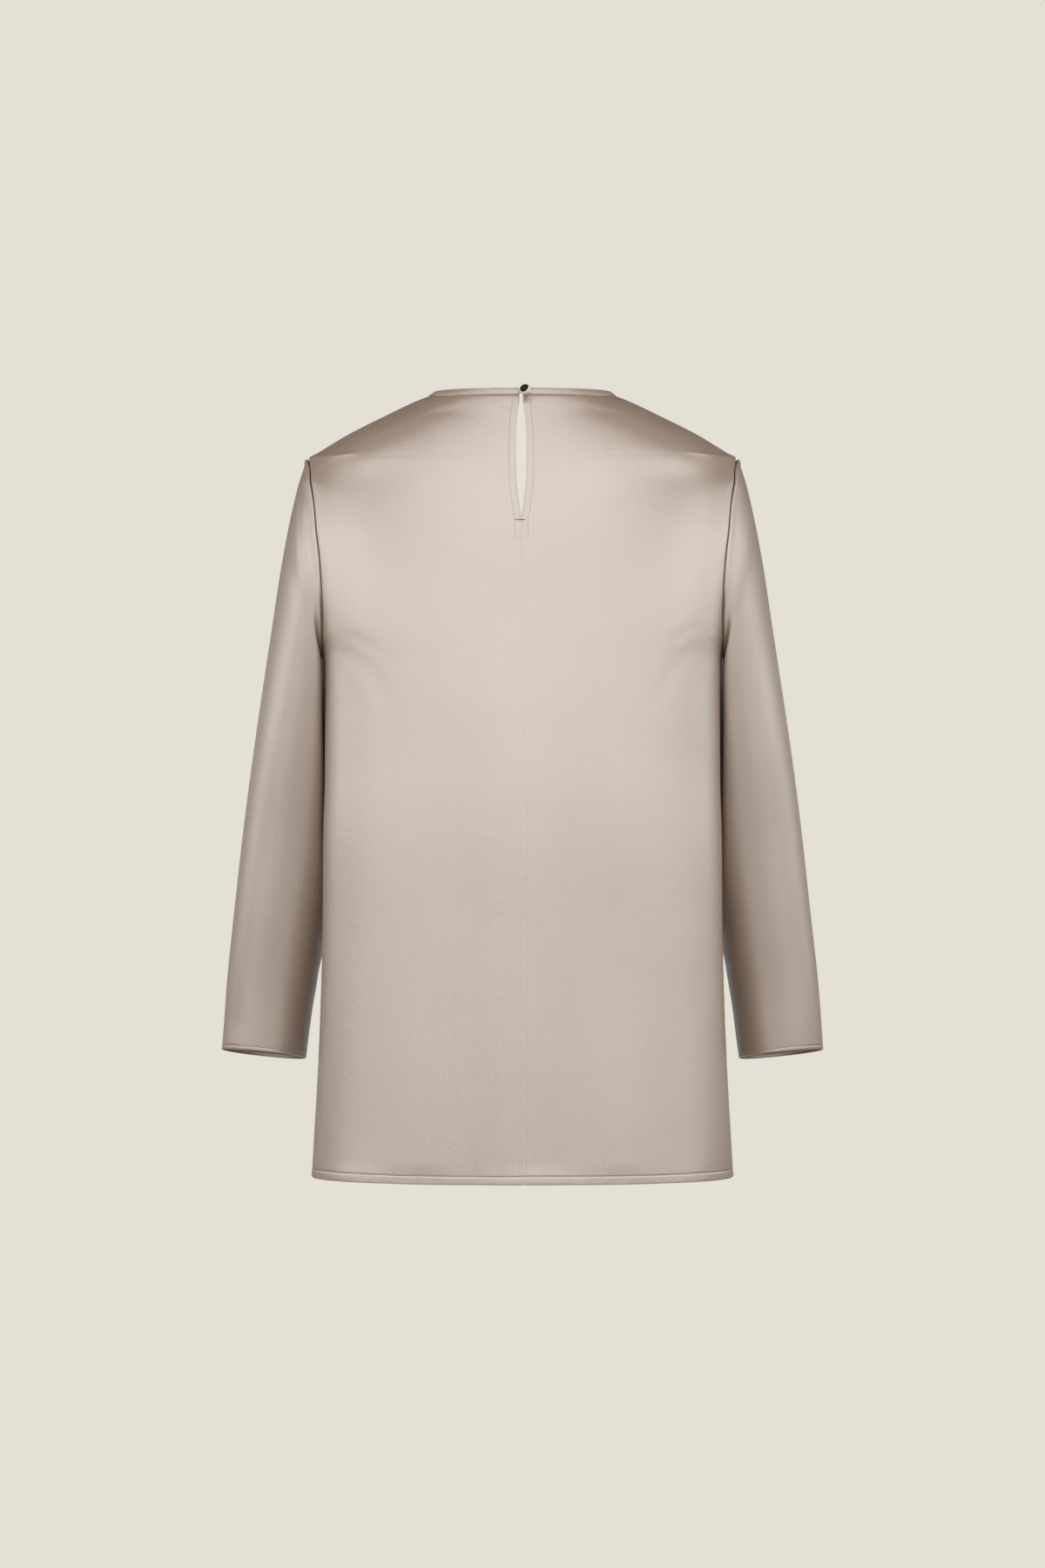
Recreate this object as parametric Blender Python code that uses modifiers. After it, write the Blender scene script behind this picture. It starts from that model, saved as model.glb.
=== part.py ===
"""Blouse with set-in sleeves, a bound neck and a back keyhole closed by a loop and a button.

Metres, +Z up. The wearer's back faces +Y and their left side is at +X. The origin lies midway
between the two high points of the shoulders, where the wearer holds the blouse up.
Each cloth piece is a wall set inwards from its outer face. Neighbours share the direction of
their walls along a seam, so their edges meet squarely, a small gap apart.
"""
import math

import bmesh
import bpy
import numpy as np
from mathutils import Matrix, Vector

# Cloth
CLOTH = 0.0012
HEM_CLOTH = 0.0020
HEM_DEPTH = 0.007
HEM_STEP = 0.0006
SEAM_GAP = 0.0003

# Body
LENGTH = 0.736
SHOULDER_DROP = 0.0621
UNDERARM_DROP = 0.250
FRONT_NECK_DROP = 0.114
NECK_ROUNDNESS = 1.25
SHOULDER_ROUNDNESS = 3.0

# Armhole, measured from the side plane at its middle height
ARMHOLE_BACK_BITE = 0.056
ARMHOLE_FRONT_BITE = 0.062

# Neck binding
BINDING_WIDTH = 0.0065
BINDING_THICKNESS = 0.0022
BINDING_PROUD = 0.0004
NECK_SLOPES = {"side": 0.457, "back": 0.84, "front": 0.867}

# Button and loop
BUTTON_DIAMETER = 0.0105
BUTTON_THICKNESS = 0.0034
BUTTON_PLACE = (-0.0022, 0.0668, -0.0016)
BUTTON_FACING = (0.40, 0.78, 0.48)
BUTTON_WELL = 0.80
SHANK_DIAMETER = 0.0026
SHANK_LENGTH = 0.0022
SHANK_FILLET = 0.0004
LOOP_DIAMETER = 0.0012
LOOP_DEPTH = 0.0013
LOOP_PLACE = 0.55
LOOP_SPREAD = 0.9
LOOP_ARC = (60.0, 300.0)
LOOP_POINTS = 9

# Sleeve
SLEEVE_CLEARANCE = 0.0030
SLEEVE_TURN = 86.0
SLEEVE_TURN_SPAN = (0.2333, 0.9)
SLEEVE_START_PULL = 0.7
SLEEVE_TOP_PLACES = (0.0, 0.12, 0.3, 0.6)

# Counts
BACK_COLUMNS = 10
FRONT_COLUMNS = 20
SHOULDER_ROWS = 5
ARMHOLE_STEPS = 12
SKIRT_ROWS = 8
SLEEVE_ROWS = 15
TURN_STEPS = 24
BINDING_BEND_STEPS = 6
EDGE_ANGLE = 50.0

# Small steps over which slopes are taken, and the distance within which turned points merge
SLOPE_STEP = 0.0002
TURN_STEP = 0.01
MERGE_DISTANCE = 0.0001

# Colours, for a first look only
SATIN = (0.62, 0.54, 0.46)
TRIM = (0.60, 0.52, 0.44)
RIM = (0.70, 0.66, 0.60)
FACE = (0.02, 0.018, 0.017)

# One row for each level section of the body, from the neck down: half its width, places along Y
# at the middle of the back, the middle of the front and the side, and how square each half is.
SECTION_COLUMNS = ("z", "half_width", "back", "front", "side", "back_square", "front_square")
SECTIONS = (
    (0.0000, 0.0822, 0.0550, -0.0340, 0.000, 2.00, 2.00),
    (-0.0036, 0.0888, 0.0575, -0.0352, 0.000, 2.00, 2.00),
    (-0.0072, 0.0982, 0.0598, -0.0365, 0.000, 2.00, 2.00),
    (-0.0236, 0.1328, 0.0688, -0.0420, 0.000, 2.02, 2.01),
    (-0.0400, 0.1656, 0.0770, -0.0478, 0.000, 2.06, 2.03),
    (-0.0564, 0.1951, 0.0845, -0.0540, 0.000, 2.18, 2.09),
    (-0.0728, 0.2038, 0.0915, -0.0615, 0.001, 2.38, 2.18),
    (-0.0892, 0.2062, 0.0975, -0.0706, 0.002, 2.56, 2.25),
    (-0.1255, 0.2060, 0.1080, -0.0900, 0.004, 2.67, 2.30),
    (-0.1580, 0.2025, 0.1145, -0.1045, 0.007, 2.70, 2.30),
    (-0.1920, 0.1965, 0.1185, -0.1170, 0.010, 2.74, 2.28),
    (-0.2265, 0.1903, 0.1210, -0.1260, 0.014, 2.68, 2.20),
    (-0.2500, 0.1868, 0.1222, -0.1300, 0.016, 2.55, 2.15),
    (-0.3000, 0.1851, 0.1235, -0.1345, 0.018, 2.38, 2.08),
    (-0.3600, 0.1852, 0.1235, -0.1355, 0.018, 2.30, 2.05),
    (-0.4200, 0.1867, 0.1225, -0.1350, 0.017, 2.30, 2.05),
    (-0.5000, 0.1873, 0.1205, -0.1340, 0.015, 2.30, 2.05),
    (-0.6000, 0.1900, 0.1190, -0.1345, 0.013, 2.30, 2.05),
    (-0.7000, 0.1952, 0.1185, -0.1360, 0.012, 2.30, 2.05),
    (-0.7360, 0.1974, 0.1185, -0.1370, 0.012, 2.30, 2.05),
)

# The sewn centre back wanders a little. The keyhole opens it near the neck.
CENTRE_BACK_COLUMNS = ("z", "place")
CENTRE_BACK = (
    (0.000, 0.0013),
    (-0.150, 0.0010),
    (-0.300, 0.0000),
    (-0.450, -0.0040),
    (-0.600, -0.0030),
    (-0.736, -0.0022),
)
KEYHOLE_COLUMNS = ("z", "half_width")
KEYHOLE = (
    (0.0000, 0.0018),
    (-0.0130, 0.0021),
    (-0.0200, 0.0032),
    (-0.0300, 0.0045),
    (-0.0470, 0.0054),
    (-0.0720, 0.0054),
    (-0.0860, 0.0050),
    (-0.1000, 0.0036),
    (-0.1100, 0.0024),
    (-0.1180, 0.0012),
    (-0.1235, 0.0000),
)

# Soft flutes that grow towards the hem. Angles run from the middle of the back to the front.
FLUTE_COLUMNS = ("angle", "spread", "depth")
FLUTES = (
    (-150.0, 13.0, -0.0030),
    (-112.0, 10.0, 0.0026),
    (-62.0, 11.0, -0.0022),
    (-27.0, 9.0, -0.0016),
    (22.0, 10.0, -0.0018),
    (58.0, 9.0, -0.0020),
    (104.0, 11.0, 0.0028),
    (139.0, 12.0, -0.0032),
    (171.0, 11.0, 0.0018),
)
FLUTE_START = -0.34

# One row for each ring of a sleeve below its armhole: the outer and inner ends, the middle
# and half depth along Y, and how much higher the back of the ring is than its middle.
RING_COLUMNS = ("outer_x", "outer_z", "inner_x", "inner_z", "middle", "half_depth", "back_lift")
RINGS = (
    (0.2120, -0.0950, 0.1915, -0.2620, 0.000, 0.062, 0.000),
    (0.2246, -0.1500, 0.1905, -0.2900, -0.010, 0.066, 0.000),
    (0.2375, -0.2250, 0.1865, -0.3250, -0.024, 0.067, 0.000),
    (0.2511, -0.3100, 0.1800, -0.3750, -0.038, 0.064, 0.001),
    (0.2642, -0.4000, 0.1765, -0.4400, -0.052, 0.059, 0.002),
    (0.2754, -0.4900, 0.1880, -0.5150, -0.063, 0.053, 0.004),
    (0.2833, -0.5600, 0.2003, -0.5780, -0.072, 0.049, 0.005),
    (0.2880, -0.6225, 0.2076, -0.6305, -0.078, 0.0465, 0.005),
)

# The button's rim and its domed face, from the inside out, as shares of the radius that each
# turns within and of half the button's thickness.
PROFILE_COLUMNS = ("radius", "height")
RIM_PROFILE = ((0.80, 0.10), (0.80, 0.62), (0.90, 0.72), (1.00, 0.30), (1.00, -0.25), (0.86, -0.85))
DOME_PROFILE = ((0.00, 1.25), (0.30, 1.22), (0.60, 1.09), (0.85, 0.88), (1.00, 0.62))


def steady_curve(knots, values):
    """Return a smooth curve through the values that never swings past them."""
    knots = np.array(knots, float)
    values = np.array(values, float)
    steps = np.diff(knots)
    rises = np.diff(values) / steps
    slopes = np.zeros(len(knots))
    slopes[0] = rises[0]
    slopes[-1] = rises[-1]
    for i in range(1, len(steps)):
        if rises[i - 1] * rises[i] > 0:
            slopes[i] = 2.0 / (1.0 / rises[i - 1] + 1.0 / rises[i])

    def read(place):
        place = np.clip(place, knots[0], knots[-1])
        i = np.clip(np.searchsorted(knots, place) - 1, 0, len(steps) - 1)
        t = (place - knots[i]) / steps[i]
        start = (1 + 2 * t) * (1 - t) ** 2 * values[i] + t * (1 - t) ** 2 * steps[i] * slopes[i]
        end = t * t * (3 - 2 * t) * values[i + 1] - t * t * (1 - t) * steps[i] * slopes[i + 1]
        return start + end

    return read


def table_curves(columns, rows):
    """Return one curve for each column of a table but the first, read by depth below the origin."""
    table = np.array(rows)
    curves = {}
    for number, name in enumerate(columns[1:], start=1):
        curves[name] = steady_curve(-table[:, 0], table[:, number])
    return curves


BODY_CURVES = table_curves(SECTION_COLUMNS, SECTIONS)
CENTRE_BACK_CURVES = table_curves(CENTRE_BACK_COLUMNS, CENTRE_BACK)
KEYHOLE_CURVES = table_curves(KEYHOLE_COLUMNS, KEYHOLE)


def ease(t):
    """Rise smoothly from 0 to 1 as t does."""
    t = np.clip(t, 0.0, 1.0)
    return t * t * (3.0 - 2.0 * t)


def body_section(face, z):
    """Return half width, side place, depth and squareness of the body at z; face is 1 at the back."""
    half_width = BODY_CURVES["half_width"](-z)
    side = BODY_CURVES["side"](-z)
    middle = BODY_CURVES["back" if face > 0 else "front"](-z)
    squareness = BODY_CURVES["back_square" if face > 0 else "front_square"](-z)
    return half_width, side, (middle - side) * face, squareness


def body_depth(face, x, z):
    """Return the place along Y of the body's outer face at x and z."""
    half_width, side, depth, squareness = body_section(face, z)
    inside = np.clip(1.0 - np.abs(x / half_width) ** squareness, 0.0, 1.0)
    return side + face * depth * inside ** (1.0 / squareness)


def body_side(face, y, z):
    """Return the half width of the body's outer face at y and z, or nothing beyond its depth."""
    half_width, side, depth, squareness = body_section(face, z)
    inside = np.clip(1.0 - np.abs((y - side) / depth) ** squareness, 0.0, 1.0)
    return half_width * inside ** (1.0 / squareness)


def flute(points):
    """Move body points out or in by the soft flutes above the hem."""
    points = np.array(points)
    side = BODY_CURVES["side"](-points[:, 2])
    angle = np.degrees(np.arctan2(points[:, 0], points[:, 1] - side))
    growth = ease((points[:, 2] - FLUTE_START) / (-LENGTH - FLUTE_START))
    move = np.zeros(len(points))
    for middle, spread, depth in FLUTES:
        turn = (angle - middle + 180.0) % 360.0 - 180.0
        move += depth * np.exp(-((turn / spread) ** 2))
    radians = np.radians(angle)
    points[:, 0] += np.sin(radians) * move * growth
    points[:, 1] += np.cos(radians) * move * growth
    return points


def armhole_fraction(z):
    """Return the sine of the armhole's angle at z, 0 at its top and bottom and 1 midway."""
    share = np.clip((-SHOULDER_DROP - z) / (UNDERARM_DROP - SHOULDER_DROP), 0.0, 1.0)
    return 2.0 * math.sqrt(share * (1.0 - share))


def side_edge(face, z):
    """Return how far from the side plane a panel ends at height z."""
    bite = ARMHOLE_BACK_BITE if face > 0 else ARMHOLE_FRONT_BITE
    return max(SEAM_GAP / 2.0, bite * armhole_fraction(z))


def panel_row(face, z_side, drop, start, columns):
    """Return a row of a panel's points from x = start to its side edge, lower by drop at the middle."""
    half_width, _, depth, squareness = body_section(face, z_side)
    reach = (1.0 - (side_edge(face, z_side) / depth) ** squareness) ** (1.0 / squareness)
    widest = math.asin(min(1.0, reach ** (squareness / 2.0)))
    u = np.linspace(0.0, 1.0, columns + 1)
    spread = (np.sin(widest * u) / math.sin(widest)) ** (2.0 / squareness)
    x = start + (half_width * reach - start) * spread
    share = ease(-z_side / SHOULDER_DROP)
    roundness = NECK_ROUNDNESS + (SHOULDER_ROUNDNESS - NECK_ROUNDNESS) * share
    z = z_side - drop * np.cos(u * math.pi / 2.0) ** roundness
    y = body_depth(face, x, z)
    y[-1] = BODY_CURVES["side"](-z_side) + face * side_edge(face, z_side)
    return flute(np.column_stack((x, y, z)))


def neck_row(face, width):
    """Return side height and middle drop of the row that lies width below the neck's edge."""
    z_side = -NECK_SLOPES["side"] * width
    if face > 0:
        return z_side, (NECK_SLOPES["back"] - NECK_SLOPES["side"]) * width
    return z_side, FRONT_NECK_DROP + (NECK_SLOPES["front"] - NECK_SLOPES["side"]) * width


def panel_rows(face):
    """Return (side height, middle drop) for each row of a panel, from the neck to the hem."""
    top, first_drop = neck_row(face, BINDING_WIDTH + SEAM_GAP)
    heights = list(np.linspace(top, -SHOULDER_DROP, SHOULDER_ROWS + 1))
    for step in range(1, ARMHOLE_STEPS + 1):
        share = (1.0 - math.cos(math.pi * step / ARMHOLE_STEPS)) / 2.0
        heights.append(-SHOULDER_DROP - share * (UNDERARM_DROP - SHOULDER_DROP))
    hem = -LENGTH + HEM_DEPTH
    heights += list(np.linspace(-UNDERARM_DROP, hem + HEM_STEP, SKIRT_ROWS + 1))[1:]
    heights += [hem, -LENGTH]
    return [(z, first_drop * (1.0 - ease((top - z) / (top + UNDERARM_DROP)))) for z in heights]


def centre_start(side, z):
    """Return how far from x = 0 a back panel starts, on the left for side 1 and the right for -1."""
    seam = float(CENTRE_BACK_CURVES["place"](-z))
    opening = float(KEYHOLE_CURVES["half_width"](-z))
    return side * seam + max(SEAM_GAP / 2.0, opening)


def back_rows(side):
    rows = []
    for z_side, drop in panel_rows(1):
        points = panel_row(1, z_side, drop, centre_start(side, z_side - drop), BACK_COLUMNS)
        points[:, 0] *= side
        rows.append(points)
    return rows


def front_rows():
    rows = []
    for z_side, drop in panel_rows(-1):
        half = panel_row(-1, z_side, drop, 0.0, FRONT_COLUMNS // 2)
        other = half[:0:-1] * (-1.0, 1.0, 1.0)
        rows.append(np.vstack((other, half)))
    return rows


def body_normal(point):
    """Return the unit normal of the body's outer face at a point on it."""
    x, y, z = (float(value) for value in point)
    face = 1 if y > BODY_CURVES["side"](-z) else -1

    def level(x, y, z):
        half_width, side, depth, squareness = body_section(face, z)
        return (abs(x) / half_width) ** squareness + (abs(y - side) / depth) ** squareness

    step = SLOPE_STEP
    slope = Vector((level(x + step, y, z) - level(x - step, y, z),
                    level(x, y + step, z) - level(x, y - step, z),
                    level(x, y, z + step) - level(x, y, z - step)))
    return slope.normalized()


def armhole_point(turn):
    """Return a point of the left armhole; turn runs from its top over the back and back to it."""
    z = -SHOULDER_DROP - (1.0 - math.cos(turn)) / 2.0 * (UNDERARM_DROP - SHOULDER_DROP)
    face = 1 if math.sin(turn) >= 0 else -1
    bite = ARMHOLE_BACK_BITE if face > 0 else ARMHOLE_FRONT_BITE
    y = float(BODY_CURVES["side"](-z)) + bite * math.sin(turn)
    return Vector((float(body_side(face, y, z)), y, z))


def ring_point(row, turn):
    """Return a point of one sleeve ring; turn 0 is its outer end and a quarter turn its back."""
    ring = dict(zip(RING_COLUMNS, row))
    outer = Vector((ring["outer_x"], 0.0, ring["outer_z"]))
    inner = Vector((ring["inner_x"], 0.0, ring["inner_z"]))
    middle = (outer + inner) / 2.0 + Vector((0.0, ring["middle"], 0.0))
    back = Vector((0.0, ring["half_depth"], ring["back_lift"]))
    return middle + (outer - inner) / 2.0 * math.cos(turn) + back * math.sin(turn)


def push_clear(point, clearance):
    """Move a sleeve point out along X until it clears the body, easing in as it comes near."""
    face = 1 if point.y > BODY_CURVES["side"](-point.z) else -1
    nearest = float(body_side(face, point.y, point.z)) + clearance
    room = (point.x - nearest) / SLEEVE_CLEARANCE
    point.x = nearest + SLEEVE_CLEARANCE * float(np.logaddexp(0.0, room))
    return point


def sleeve_start(turn):
    """Return where the sleeve leaves the armhole at this turn, its direction and its normal."""
    point = armhole_point(turn)
    along = (armhole_point(turn + TURN_STEP) - armhole_point(turn - TURN_STEP)).normalized()
    normal = body_normal(point)
    outward = along.cross(normal).normalized()
    low, high = SLEEVE_TURN_SPAN
    lowness = ease(((1.0 - math.cos(turn)) / 2.0 - low) / (high - low))
    bend = math.radians(SLEEVE_TURN) * float(lowness)
    direction = outward * math.cos(bend) + normal * math.sin(bend)
    return point + outward * SEAM_GAP, direction, normal * math.cos(bend) - outward * math.sin(bend)


def sleeve_column(turn):
    """Return a sleeve's points down one line, from the armhole to the cuff."""
    start, direction, _ = sleeve_start(turn)
    knots = [start] + [ring_point(row, turn) for row in RINGS]
    slopes = [direction * (knots[1] - knots[0]).length * SLEEVE_START_PULL]
    for before, here, after in zip(knots, knots[1:], knots[2:]):
        first, second = (here - before).length, (after - here).length
        weighted = (here - before) * (second / first) + (after - here) * (first / second)
        slopes.append(weighted / (first + second))
    slopes.append((knots[-1] - knots[-2]).normalized())
    points = []
    for place in sleeve_places():
        i = min(int(place), len(RINGS) - 1)
        t = place - i
        span = (knots[i + 1] - knots[i]).length
        leave = slopes[0] if i == 0 else slopes[i] * span
        arrive = slopes[i + 1] * span
        point = (knots[i] * ((1 + 2 * t) * (1 - t) ** 2) + leave * (t * (1 - t) ** 2)
                 + knots[i + 1] * (t * t * (3 - 2 * t)) - arrive * (t * t * (1 - t)))
        if place > 0:
            point = push_clear(point, SLEEVE_CLEARANCE * float(ease(place)))
        points.append(point)
    return points


def sleeve_places():
    """Return the rows of a sleeve, counted in rings from the armhole, with its hem at the end."""
    cuff = len(RINGS)
    last = Vector((RINGS[-1][0], 0.0, RINGS[-1][1])) - Vector((RINGS[-2][0], 0.0, RINGS[-2][1]))
    hem = cuff - HEM_DEPTH / last.length
    places = list(SLEEVE_TOP_PLACES)
    places += list(np.linspace(1.0, hem - HEM_STEP / last.length, SLEEVE_ROWS - len(places) + 1))
    return places + [hem, float(cuff)]


def remove_scene_objects():
    for thing in list(bpy.data.objects):
        bpy.data.objects.remove(thing, do_unlink=True)


def finish(name, colour, roughness, metallic=0.0, sheen=0.0):
    """Return a Principled material of this colour."""
    material = bpy.data.materials.new(name)
    material.use_nodes = True
    shader = material.node_tree.nodes["Principled BSDF"]
    shader.inputs["Base Color"].default_value = (*colour, 1.0)
    shader.inputs["Roughness"].default_value = roughness
    shader.inputs["Metallic"].default_value = metallic
    shader.inputs["Sheen Weight"].default_value = sheen
    return material


def add_object(name, mesh, collection, material):
    thing = bpy.data.objects.new(name, mesh)
    mesh.materials.append(material)
    collection.objects.link(thing)
    return thing


def wall_mesh(name, outer, inner, closed):
    """Return a closed wall between two grids of points, joined round their columns where closed."""
    mesh = bpy.data.meshes.new(name)
    shape = bmesh.new()
    faces = [[[shape.verts.new(point) for point in row] for row in grid] for grid in (outer, inner)]
    rows, columns = len(outer), len(outer[0])
    spans = columns if closed else columns - 1
    for grid in faces:
        for upper, lower in zip(grid, grid[1:]):
            for i in range(spans):
                j = (i + 1) % columns
                shape.faces.new((upper[i], upper[j], lower[j], lower[i]))
    for row in (0, rows - 1):
        for i in range(spans):
            j = (i + 1) % columns
            shape.faces.new((faces[0][row][i], faces[0][row][j], faces[1][row][j], faces[1][row][i]))
    if not closed:
        for column in (0, columns - 1):
            for i in range(rows - 1):
                edge = [faces[0][i][column], faces[0][i + 1][column]]
                shape.faces.new(edge + [faces[1][i + 1][column], faces[1][i][column]])
    bmesh.ops.recalc_face_normals(shape, faces=shape.faces)
    shape.to_mesh(mesh)
    shape.free()
    mesh.shade_smooth()
    mesh.set_sharp_from_angle(angle=math.radians(EDGE_ANGLE))
    return mesh


def add_panel(name, rows, normals, closed, collection, material):
    """Add one cut piece; its last two rows are the turned hem, which is thicker than the rest."""
    rows = np.array(rows)
    thickness = np.full(len(rows), CLOTH)
    thickness[-2:] = HEM_CLOTH
    inner = rows - np.array(normals) * thickness[:, None, None]
    add_object(name, wall_mesh(name, rows, inner, closed), collection, material)


def body_normals(rows):
    """Return the directions of the body's wall, for points on either side of it."""
    left = (-1.0, 1.0, 1.0)
    return [[body_normal(point) if point[0] >= 0 else np.array(body_normal(point * left)) * left
             for point in row] for row in rows]


def sleeve_normals(rows, turns):
    """Return the directions of a left sleeve's wall, from its armhole to its cuff."""
    rows = np.array(rows)
    around = np.roll(rows, -1, axis=1) - np.roll(rows, 1, axis=1)
    normals = np.cross(around, np.gradient(rows, axis=0))
    normals /= np.linalg.norm(normals, axis=2)[:, :, None]
    middle = rows.mean(axis=1)[:, None, :]
    if np.sum(normals[-1] * (rows[-1] - middle[-1])) < 0:
        normals = -normals
    for column, turn in enumerate(turns):
        normals[0, column] = sleeve_start(turn)[2]
    return normals


def add_body_panels(collection, material):
    panels = {"front": front_rows(), "back_left": back_rows(1), "back_right": back_rows(-1)}
    for name, rows in panels.items():
        add_panel(name, rows, body_normals(rows), False, collection, material)


def add_sleeves(collection, material):
    turns = [math.pi * step / ARMHOLE_STEPS for step in range(2 * ARMHOLE_STEPS)]
    rows = np.array(list(zip(*[sleeve_column(turn) for turn in turns])))
    normals = sleeve_normals(rows, turns)
    for name, side in (("sleeve_left", 1.0), ("sleeve_right", -1.0)):
        across = np.array((side, 1.0, 1.0))
        add_panel(name, rows * across, normals * across, True, collection, material)


def neck_line(width):
    """Return the line that runs width below the neck's edge, from the left end round to the right."""
    back_side, back_drop = neck_row(1, width)
    front_side, front_drop = neck_row(-1, width)
    middle = back_side - back_drop
    left = panel_row(1, back_side, back_drop, centre_start(1, middle), BACK_COLUMNS)
    right = panel_row(1, back_side, back_drop, centre_start(-1, middle), BACK_COLUMNS)
    front = panel_row(-1, front_side, front_drop, 0.0, FRONT_COLUMNS // 2)
    across = (-1.0, 1.0, 1.0)
    left[-1, 1] = 0.0
    return np.vstack((left, front[-2::-1], front[1:-1] * across, right[::-1] * across))


def binding_mesh():
    """Return the neck binding: a rounded strip that follows the neck's edge."""
    edge = neck_line(0.0)
    foot = neck_line(BINDING_WIDTH)
    down = (foot - edge) / BINDING_WIDTH
    out = np.array(body_normals([foot])[0])
    half = BINDING_THICKNESS / 2.0
    middle = BINDING_PROUD - half
    profile = []
    for turn in np.linspace(math.pi, 0.0, BINDING_BEND_STEPS):
        profile.append((half * (1.0 - math.sin(turn)), middle + half * math.cos(turn)))
    profile += [(BINDING_WIDTH - half / 2.0, BINDING_PROUD), (BINDING_WIDTH, BINDING_PROUD - half / 2.0)]
    profile += [(BINDING_WIDTH, BINDING_PROUD - BINDING_THICKNESS + half / 2.0)]
    profile += [(BINDING_WIDTH - half / 2.0, BINDING_PROUD - BINDING_THICKNESS)]
    mesh = bpy.data.meshes.new("neck_binding")
    shape = bmesh.new()
    loops = []
    for place in range(len(edge)):
        points = [edge[place] + down[place] * low + out[place] * high for low, high in profile]
        loops.append([shape.verts.new(point) for point in points])
    count = len(profile)
    for first, second in zip(loops, loops[1:]):
        for i in range(count):
            j = (i + 1) % count
            shape.faces.new((first[i], second[i], second[j], first[j]))
    shape.faces.new(loops[0])
    shape.faces.new(loops[-1][::-1])
    bmesh.ops.recalc_face_normals(shape, faces=shape.faces)
    shape.to_mesh(mesh)
    shape.free()
    return mesh


def turned(name, profile, collection, material, place):
    """Add a turned piece from its profile, top to bottom, as a mesh placed on the button's axis."""
    mesh = bpy.data.meshes.new(name)
    mesh.from_pydata([(radius, 0.0, height) for radius, height in profile],
                     [(i, i + 1) for i in range(len(profile) - 1)], [])
    thing = add_object(name, mesh, collection, material)
    turn = thing.modifiers.new("Turn", "SCREW")
    turn.steps = TURN_STEPS
    turn.render_steps = TURN_STEPS
    turn.use_merge_vertices = True
    turn.merge_threshold = MERGE_DISTANCE
    thing.matrix_world = place


def button_place():
    """Return the matrix that puts a turned piece on the button's axis, face outwards."""
    turn = Vector(BUTTON_FACING).to_track_quat("Z", "Y").to_matrix().to_4x4()
    return Matrix.Translation(BUTTON_PLACE) @ turn


def add_button(collection, rim_material, face_material):
    """Add the button: a rim with a sunk well and a shank, and the domed face set in the well."""
    radius = BUTTON_DIAMETER / 2.0
    half = BUTTON_THICKNESS / 2.0
    shank = SHANK_DIAMETER / 2.0
    rim = [(radius * across, half * up) for across, up in RIM_PROFILE]
    rim.insert(0, (0.0, rim[0][1]))
    foot = -half - SHANK_LENGTH
    rim += [(shank + SHANK_FILLET, -half), (shank, -half - SHANK_FILLET), (shank, foot), (0.0, foot)]
    turned("button_rim", rim, collection, rim_material, button_place())
    inner = radius * BUTTON_WELL - SEAM_GAP
    floor = rim[0][1] + SEAM_GAP
    dome = [(inner * across, half * up) for across, up in DOME_PROFILE]
    dome += [(inner, floor), (0.0, floor)]
    turned("button_face", dome, collection, face_material, button_place())


def add_loop(collection, material):
    """Add the thin loop that runs from the left end of the binding round the button's shank."""
    axis = Vector(BUTTON_FACING).normalized()
    centre = Vector(BUTTON_PLACE) - axis * (BUTTON_THICKNESS / 2.0 + LOOP_DEPTH)
    reach = SHANK_DIAMETER / 2.0 + LOOP_DIAMETER / 2.0 + SEAM_GAP
    end = Vector(neck_line(BINDING_WIDTH * LOOP_PLACE)[0])
    end.x -= SEAM_GAP + LOOP_DIAMETER * LOOP_SPREAD
    across = (end - centre).normalized()
    across = (across - axis * across.dot(axis)).normalized()
    side = axis.cross(across)
    points = [end + side * LOOP_DIAMETER * LOOP_SPREAD]
    for turn in np.radians(np.linspace(*LOOP_ARC, LOOP_POINTS)):
        points.append(centre + (across * math.cos(turn) + side * math.sin(turn)) * reach)
    points.append(end - side * LOOP_DIAMETER * LOOP_SPREAD)
    curve = bpy.data.curves.new("button_loop", "CURVE")
    curve.dimensions = "3D"
    curve.bevel_depth = LOOP_DIAMETER / 2.0
    curve.bevel_resolution = 2
    curve.use_fill_caps = True
    spline = curve.splines.new("POLY")
    spline.points.add(len(points) - 1)
    for knot, point in zip(spline.points, points):
        knot.co = (*point, 1.0)
    curve.materials.append(material)
    loop = bpy.data.objects.new("button_loop", curve)
    collection.objects.link(loop)


def build():
    remove_scene_objects()
    collection = bpy.data.collections.new("blouse")
    bpy.context.scene.collection.children.link(collection)
    satin = finish("satin", SATIN, 0.42, sheen=0.3)
    trim = finish("satin_trim", TRIM, 0.45, sheen=0.3)
    rim = finish("button_rim", RIM, 0.25, metallic=0.6)
    face = finish("button_face", FACE, 0.15)
    add_body_panels(collection, satin)
    add_sleeves(collection, satin)
    add_object("neck_binding", binding_mesh(), collection, trim)
    add_button(collection, rim, face)
    add_loop(collection, trim)


build()
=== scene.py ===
import math

import bpy
import numpy as np
from mathutils import Matrix, Vector


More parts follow.
